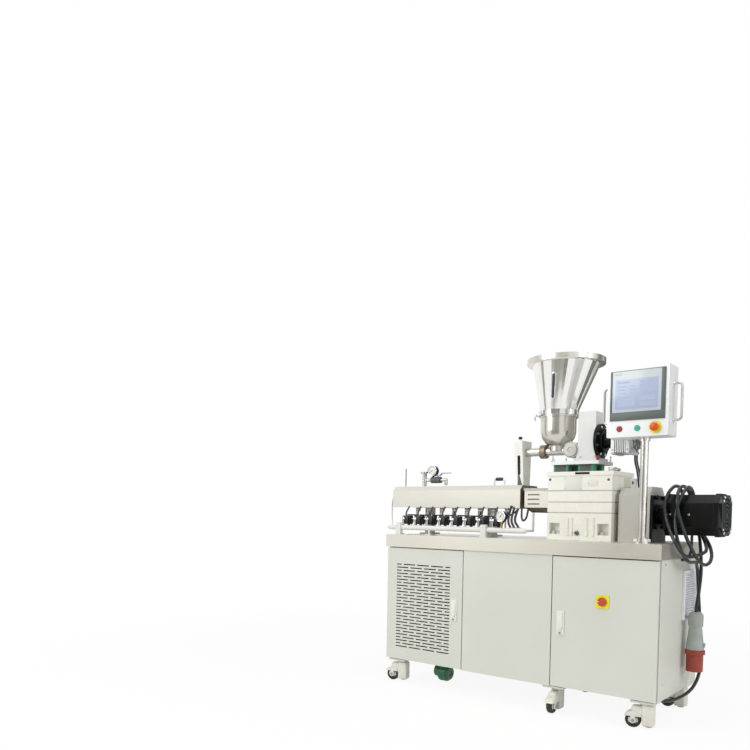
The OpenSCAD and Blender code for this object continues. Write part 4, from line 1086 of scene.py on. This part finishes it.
grille = settle(joined(border), "side_grille", filter_plastic, "white_plastic")
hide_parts("side_vent")

# %% [markdown]
# The casters are levelling casters: an ivory pillar with a screw foot, and beside it a fork whose
# fender covers the wheel. The fender is a disc cut off above the hub, and a rounded shoulder ties
# it to the pillar. A Boolean cuts the wheel's room out of both, as a core does in a casting.

# %% Fender and shoulder
def cut_out(piece, tool):
    cutting = piece.modifiers.new("cut", "BOOLEAN")
    cutting.object = tool
    joined([piece])
    bpy.ops.object.modifier_apply(modifier="cut")
    bpy.data.objects.remove(tool)
    return piece


wheel_trail, wheel_radius = 55, 38


def wheel_room():
    return turned((-wheel_trail, -18.5, wheel_radius), BACK, [(41.5, 0), (41.5, 37)], 64)


fender_profile = [(44, 0), (46, 2), (46, 47), (44, 49)]
fender = joined([turned((-wheel_trail, -24.5, wheel_radius), BACK, fender_profile, 64)])
bpy.ops.object.transform_apply(location=True, rotation=True, scale=True)
bpy.ops.object.mode_set(mode="EDIT")
bpy.ops.mesh.select_all(action="SELECT")
bpy.ops.mesh.bisect(plane_co=at(0, 0, 58), plane_no=UP, clear_inner=True, use_fill=True)
bpy.ops.object.mode_set(mode="OBJECT")
shoulder = block((-64, -23.5, 56), (0, 23.5, 112), 16, 5)
body_parts = [cut_out(fender, wheel_room()), cut_out(shoulder, wheel_room())]
print("fender and shoulder", sum(len(part.data.polygons) for part in body_parts), "faces")

# %% [markdown]
# Two cheeks with round hubs hold the axle, and the pillar with its collar carries the cart. The
# levelling foot under it and the axle's nuts are pieces of their own, because their finish differs.

# %% Caster body
hub_disc = [(15, 0), (15, 4.5), (13, 6), (8, 6)]
for y, outward in ((18.5, BACK), (-18.5, FRONT)):
    body_parts.append(turned((-wheel_trail, y, wheel_radius), outward, hub_disc, 36))
    body_parts.append(block((-66, min(y, y * 1.31), 38), (-44, max(y, y * 1.31), 66), 1.5))
body_parts.append(block((-13, -27, 14), (46, 27, 119), 9, 5))
collar = [(25, 0), (25, 4), (19, 6), (19, 9), (22, 10), (22, 12.4)]
body_parts.append(turned((0, 0, 117), UP, collar, 32))
caster_master = joined(body_parts)
foot_master = turned((17, 0, 10), UP, [(17, 0), (19, 2), (19, 5), (12, 7), (12, 10)], 28)
axle = (-wheel_trail, 0, wheel_radius)
nut_profile = [(8, 0), (8, 4), (6.5, 6), (3.5, 6), (3.5, 3)]
nut = turned((-wheel_trail, -24.4, wheel_radius), FRONT, nut_profile, 6)
nuts_master = circle_of(nut, axle, UP, (0, 180))
print("caster body", len(caster_master.data.polygons), "faces")

# %% [markdown]
# The caster was modelled at the drawing's corner with its wheel to the left. A copy is turned to
# each of the six places, and rides on that place's own swivelling body. The hub of each wheel is
# ivory too, so the wheel's faces near its axle take that finish.

# %% Casters in place
caster_places = {
    "fl": (75, 62, 190), "fm": (1105, 62, 270), "fr": (1572, 62, 192),
    "rl": (75, 578, 170), "rm": (1105, 578, 185), "rr": (1572, 578, 176),
}
for place, (x, y, trail_turn) in caster_places.items():
    swing = Matrix.Rotation(math.radians(trail_turn + 180), 4, "Z")
    seat = Matrix.Translation(at(x, y, 0)) @ swing @ Matrix.Translation(-corner)
    for master, name, used, slot in (
        (caster_master, "caster_fork_", ivory_nylon, "white_plastic"),
        (foot_master, "levelling_foot_", black_plastic, "black_plastic"),
        (nuts_master, "axle_nuts_", machined_steel, "bare_steel"),
    ):
        made = settle(twin_of(master, seat), name + place, used, slot, "caster_" + place)
        if master is caster_master:
            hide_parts("caster_" + place)
    trail = Matrix.Rotation(math.radians(trail_turn), 3, "Z")
    hub = Vector((x, y, 0)) + trail @ Vector((wheel_trail, 0, wheel_radius))
    dress_zone(
        ivory_nylon, "wheel_" + place,
        lambda p: math.hypot((p - hub).xy.length * 0.72, p.z - wheel_radius) < 19,
    )
for master in (caster_master, foot_master, nuts_master):
    bpy.data.objects.remove(master)

# %% [markdown]
# The pump under the floor pan is a finned motor on a small casing. The casing and the motor are
# turned about the shaft, and the cooling ribs are one bar copied round it.

# %% Pump
pump_parts = [
    turned((348, 95, 90), RIGHT, [(42, 0), (46, 4), (46, 52), (42, 56)], 48),
    turned((404, 95, 90), RIGHT, [(39, 0), (39, 9), (35, 12), (18, 12), (16, 8), (6, 8)], 40),
    turned((314, 95, 96), RIGHT, [(28, 0), (34, 4), (34, 34)], 40),
    block((352, 63, 110), (400, 127, 140), 3),
]
pump_rib = block((350, 93.5, 134), (402, 96.5, 139), 1)
pump_parts.append(circle_of(pump_rib, (376, 95, 90), RIGHT, range(100, 261, 20)))
pump = settle(joined(pump_parts), "pump", green_enamel, "pump_green")
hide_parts("water_pump")

# %% [markdown]
# The plug's gland has grip ribs, so that a gloved hand can tighten it on the cord, and a small
# latch on its body that hooks over the socket's lid. The cord is then declared with its plug.

# %% Plug ribs
rib = block((1698.5, 364, 486), (1701.5, 367, 536), 1)
ribs = circle_of(rib, (*plug_axis, 510), UP, range(0, 360, 20))
plug_latch = block((1739, 393, 376), (1749, 407, 398), 2)
plug_ribs = settle(joined([ribs, plug_latch]), "plug_gland_ribs", plug_grey, "plug_plastic")
at(*cord_route[0])

# %% [markdown]
# ## Studio
# A pale floor keeps the machine's shadow, which holds it to the ground. To the camera and in
# reflections it shares in the white of the surround, and fades into it further away.

# %% Floor
clear_selection()
bpy.ops.mesh.primitive_plane_add(size=60, location=(0, 0, -0.0005))
floor = bpy.context.object
floor.name = "studio_floor"
pale_floor = bpy.data.materials.new("pale_floor")
pale_floor.use_nodes = True
pale_floor.node_tree.nodes.clear()
floor_rays = add_node(pale_floor, "ShaderNodeLightPath", {}, None)
seen_rays = {0: floor_rays["Is Camera Ray"], 1: floor_rays["Is Glossy Ray"]}
seen = add_node(pale_floor, "ShaderNodeMath", seen_rays, operation="MAXIMUM")
spot = add_node(pale_floor, "ShaderNodeTexCoord", {}, "Object")
away = add_node(pale_floor, "ShaderNodeVectorMath", {0: spot}, "Value", operation="LENGTH")
fading = {"Value": away, "From Min": 1.2, "From Max": 4.5, "To Min": 0.91, "To Max": 1.0}
paling = add_node(pale_floor, "ShaderNodeMapRange", fading)
share = add_node(pale_floor, "ShaderNodeMath", {0: seen, 1: paling}, operation="MULTIPLY")
matt = add_node(pale_floor, "ShaderNodeBsdfDiffuse", {"Color": colour("#F4F4F2")})
glow = add_node(pale_floor, "ShaderNodeEmission", {"Strength": 1.0})
mixed = add_node(pale_floor, "ShaderNodeMixShader", {0: share, 1: matt, 2: glow})
add_node(pale_floor, "ShaderNodeOutputMaterial", {"Surface": mixed}, None)
floor.data.materials.append(pale_floor)
print("floor ready")

# %% [markdown]
# The surround is white to the camera, in reflections and through glass, but lights the machine at a
# plain level, so that a colour renders about as it is written.

# %% White surround
world = bpy.data.worlds.new("white_studio")
bpy.context.scene.world = world
world.use_nodes = True
world.node_tree.nodes.clear()
rays = add_node(world, "ShaderNodeLightPath", {}, None)
shown = rays["Is Camera Ray"]
for ray in ("Is Glossy Ray", "Is Transmission Ray"):
    shown = add_node(world, "ShaderNodeMath", {0: shown, 1: rays[ray]}, operation="MAXIMUM")
soft = add_node(world, "ShaderNodeBackground", {"Strength": 0.55})
white = add_node(world, "ShaderNodeBackground", {"Color": (1, 1, 1, 1), "Strength": 1.0})
sky = add_node(world, "ShaderNodeMixShader", {0: shown, 1: soft, 2: white})
add_node(world, "ShaderNodeOutputWorld", {"Surface": sky}, None)
bpy.context.scene.view_settings.view_transform = "Standard"
print("surround ready")

# %% [markdown]
# Three broad lamps: one from the front left models the forms, one from above lights the deck, and a
# weaker one from the right keeps the machine's end open.

# %% Lamps
def lamp(name, place, width, power):
    clear_selection()
    bpy.ops.object.light_add(type="AREA", location=place)
    made = bpy.context.object
    made.name = name
    made.data.size = width
    made.data.energy = power
    towards = Vector((0, 0, 0.9)) - Vector(place)
    made.rotation_euler = towards.to_track_quat("-Z", "Y").to_euler()
    print(name, power, "W")


lamp("front_left_softbox", (-2.2, -4.6, 3.4), 3.0, 130)
lamp("top_softbox", (0.6, -0.6, 4.6), 2.5, 50)
lamp("right_softbox", (4.6, -0.6, 2.4), 2.6, 62)

# %% [markdown]
# Polished steel only shows its roundness when it has something dark to mirror. As in a
# photographer's studio, a few grey cards stand round the machine. Only reflections show them.

# %% Grey cards
def card(name, bearing, distance, width, tone):
    grey = bpy.data.materials.new(name + "_grey")
    grey.use_nodes = True
    grey_shader = grey.node_tree.nodes["Principled BSDF"]
    grey_shader.inputs["Base Color"].default_value = colour(tone)
    grey_shader.inputs["Roughness"].default_value = 0.9
    towards = math.radians(bearing - 90) + turn
    place = Vector((math.cos(towards) * distance, math.sin(towards) * distance, 1.25))
    clear_selection()
    upright = (math.pi / 2, 0, towards + math.pi / 2)
    bpy.ops.mesh.primitive_plane_add(size=1, location=place, rotation=upright)
    made = bpy.context.object
    made.name = name
    made.scale = (width, 2.5, 1)
    made.data.materials.append(grey)
    made.visible_camera = made.visible_diffuse = False
    made.visible_shadow = made.visible_transmission = False


card("front_card", -38, 3.2, 2.5, "#B2B3A9")
card("front_strip", -12, 3.1, 0.35, "#77786E")
card("left_card", -104, 3.2, 0.7, "#B5B3A8")
card("right_card", 45, 2.0, 0.4, "#DEDFDF")
card("end_card", 93, 2.2, 1.0, "#7E837A")
card("rear_card", 140, 2.4, 2.2, "#7C7D77")
print("grey cards ready")

# %% Finish
bpy.context.view_layer.update()
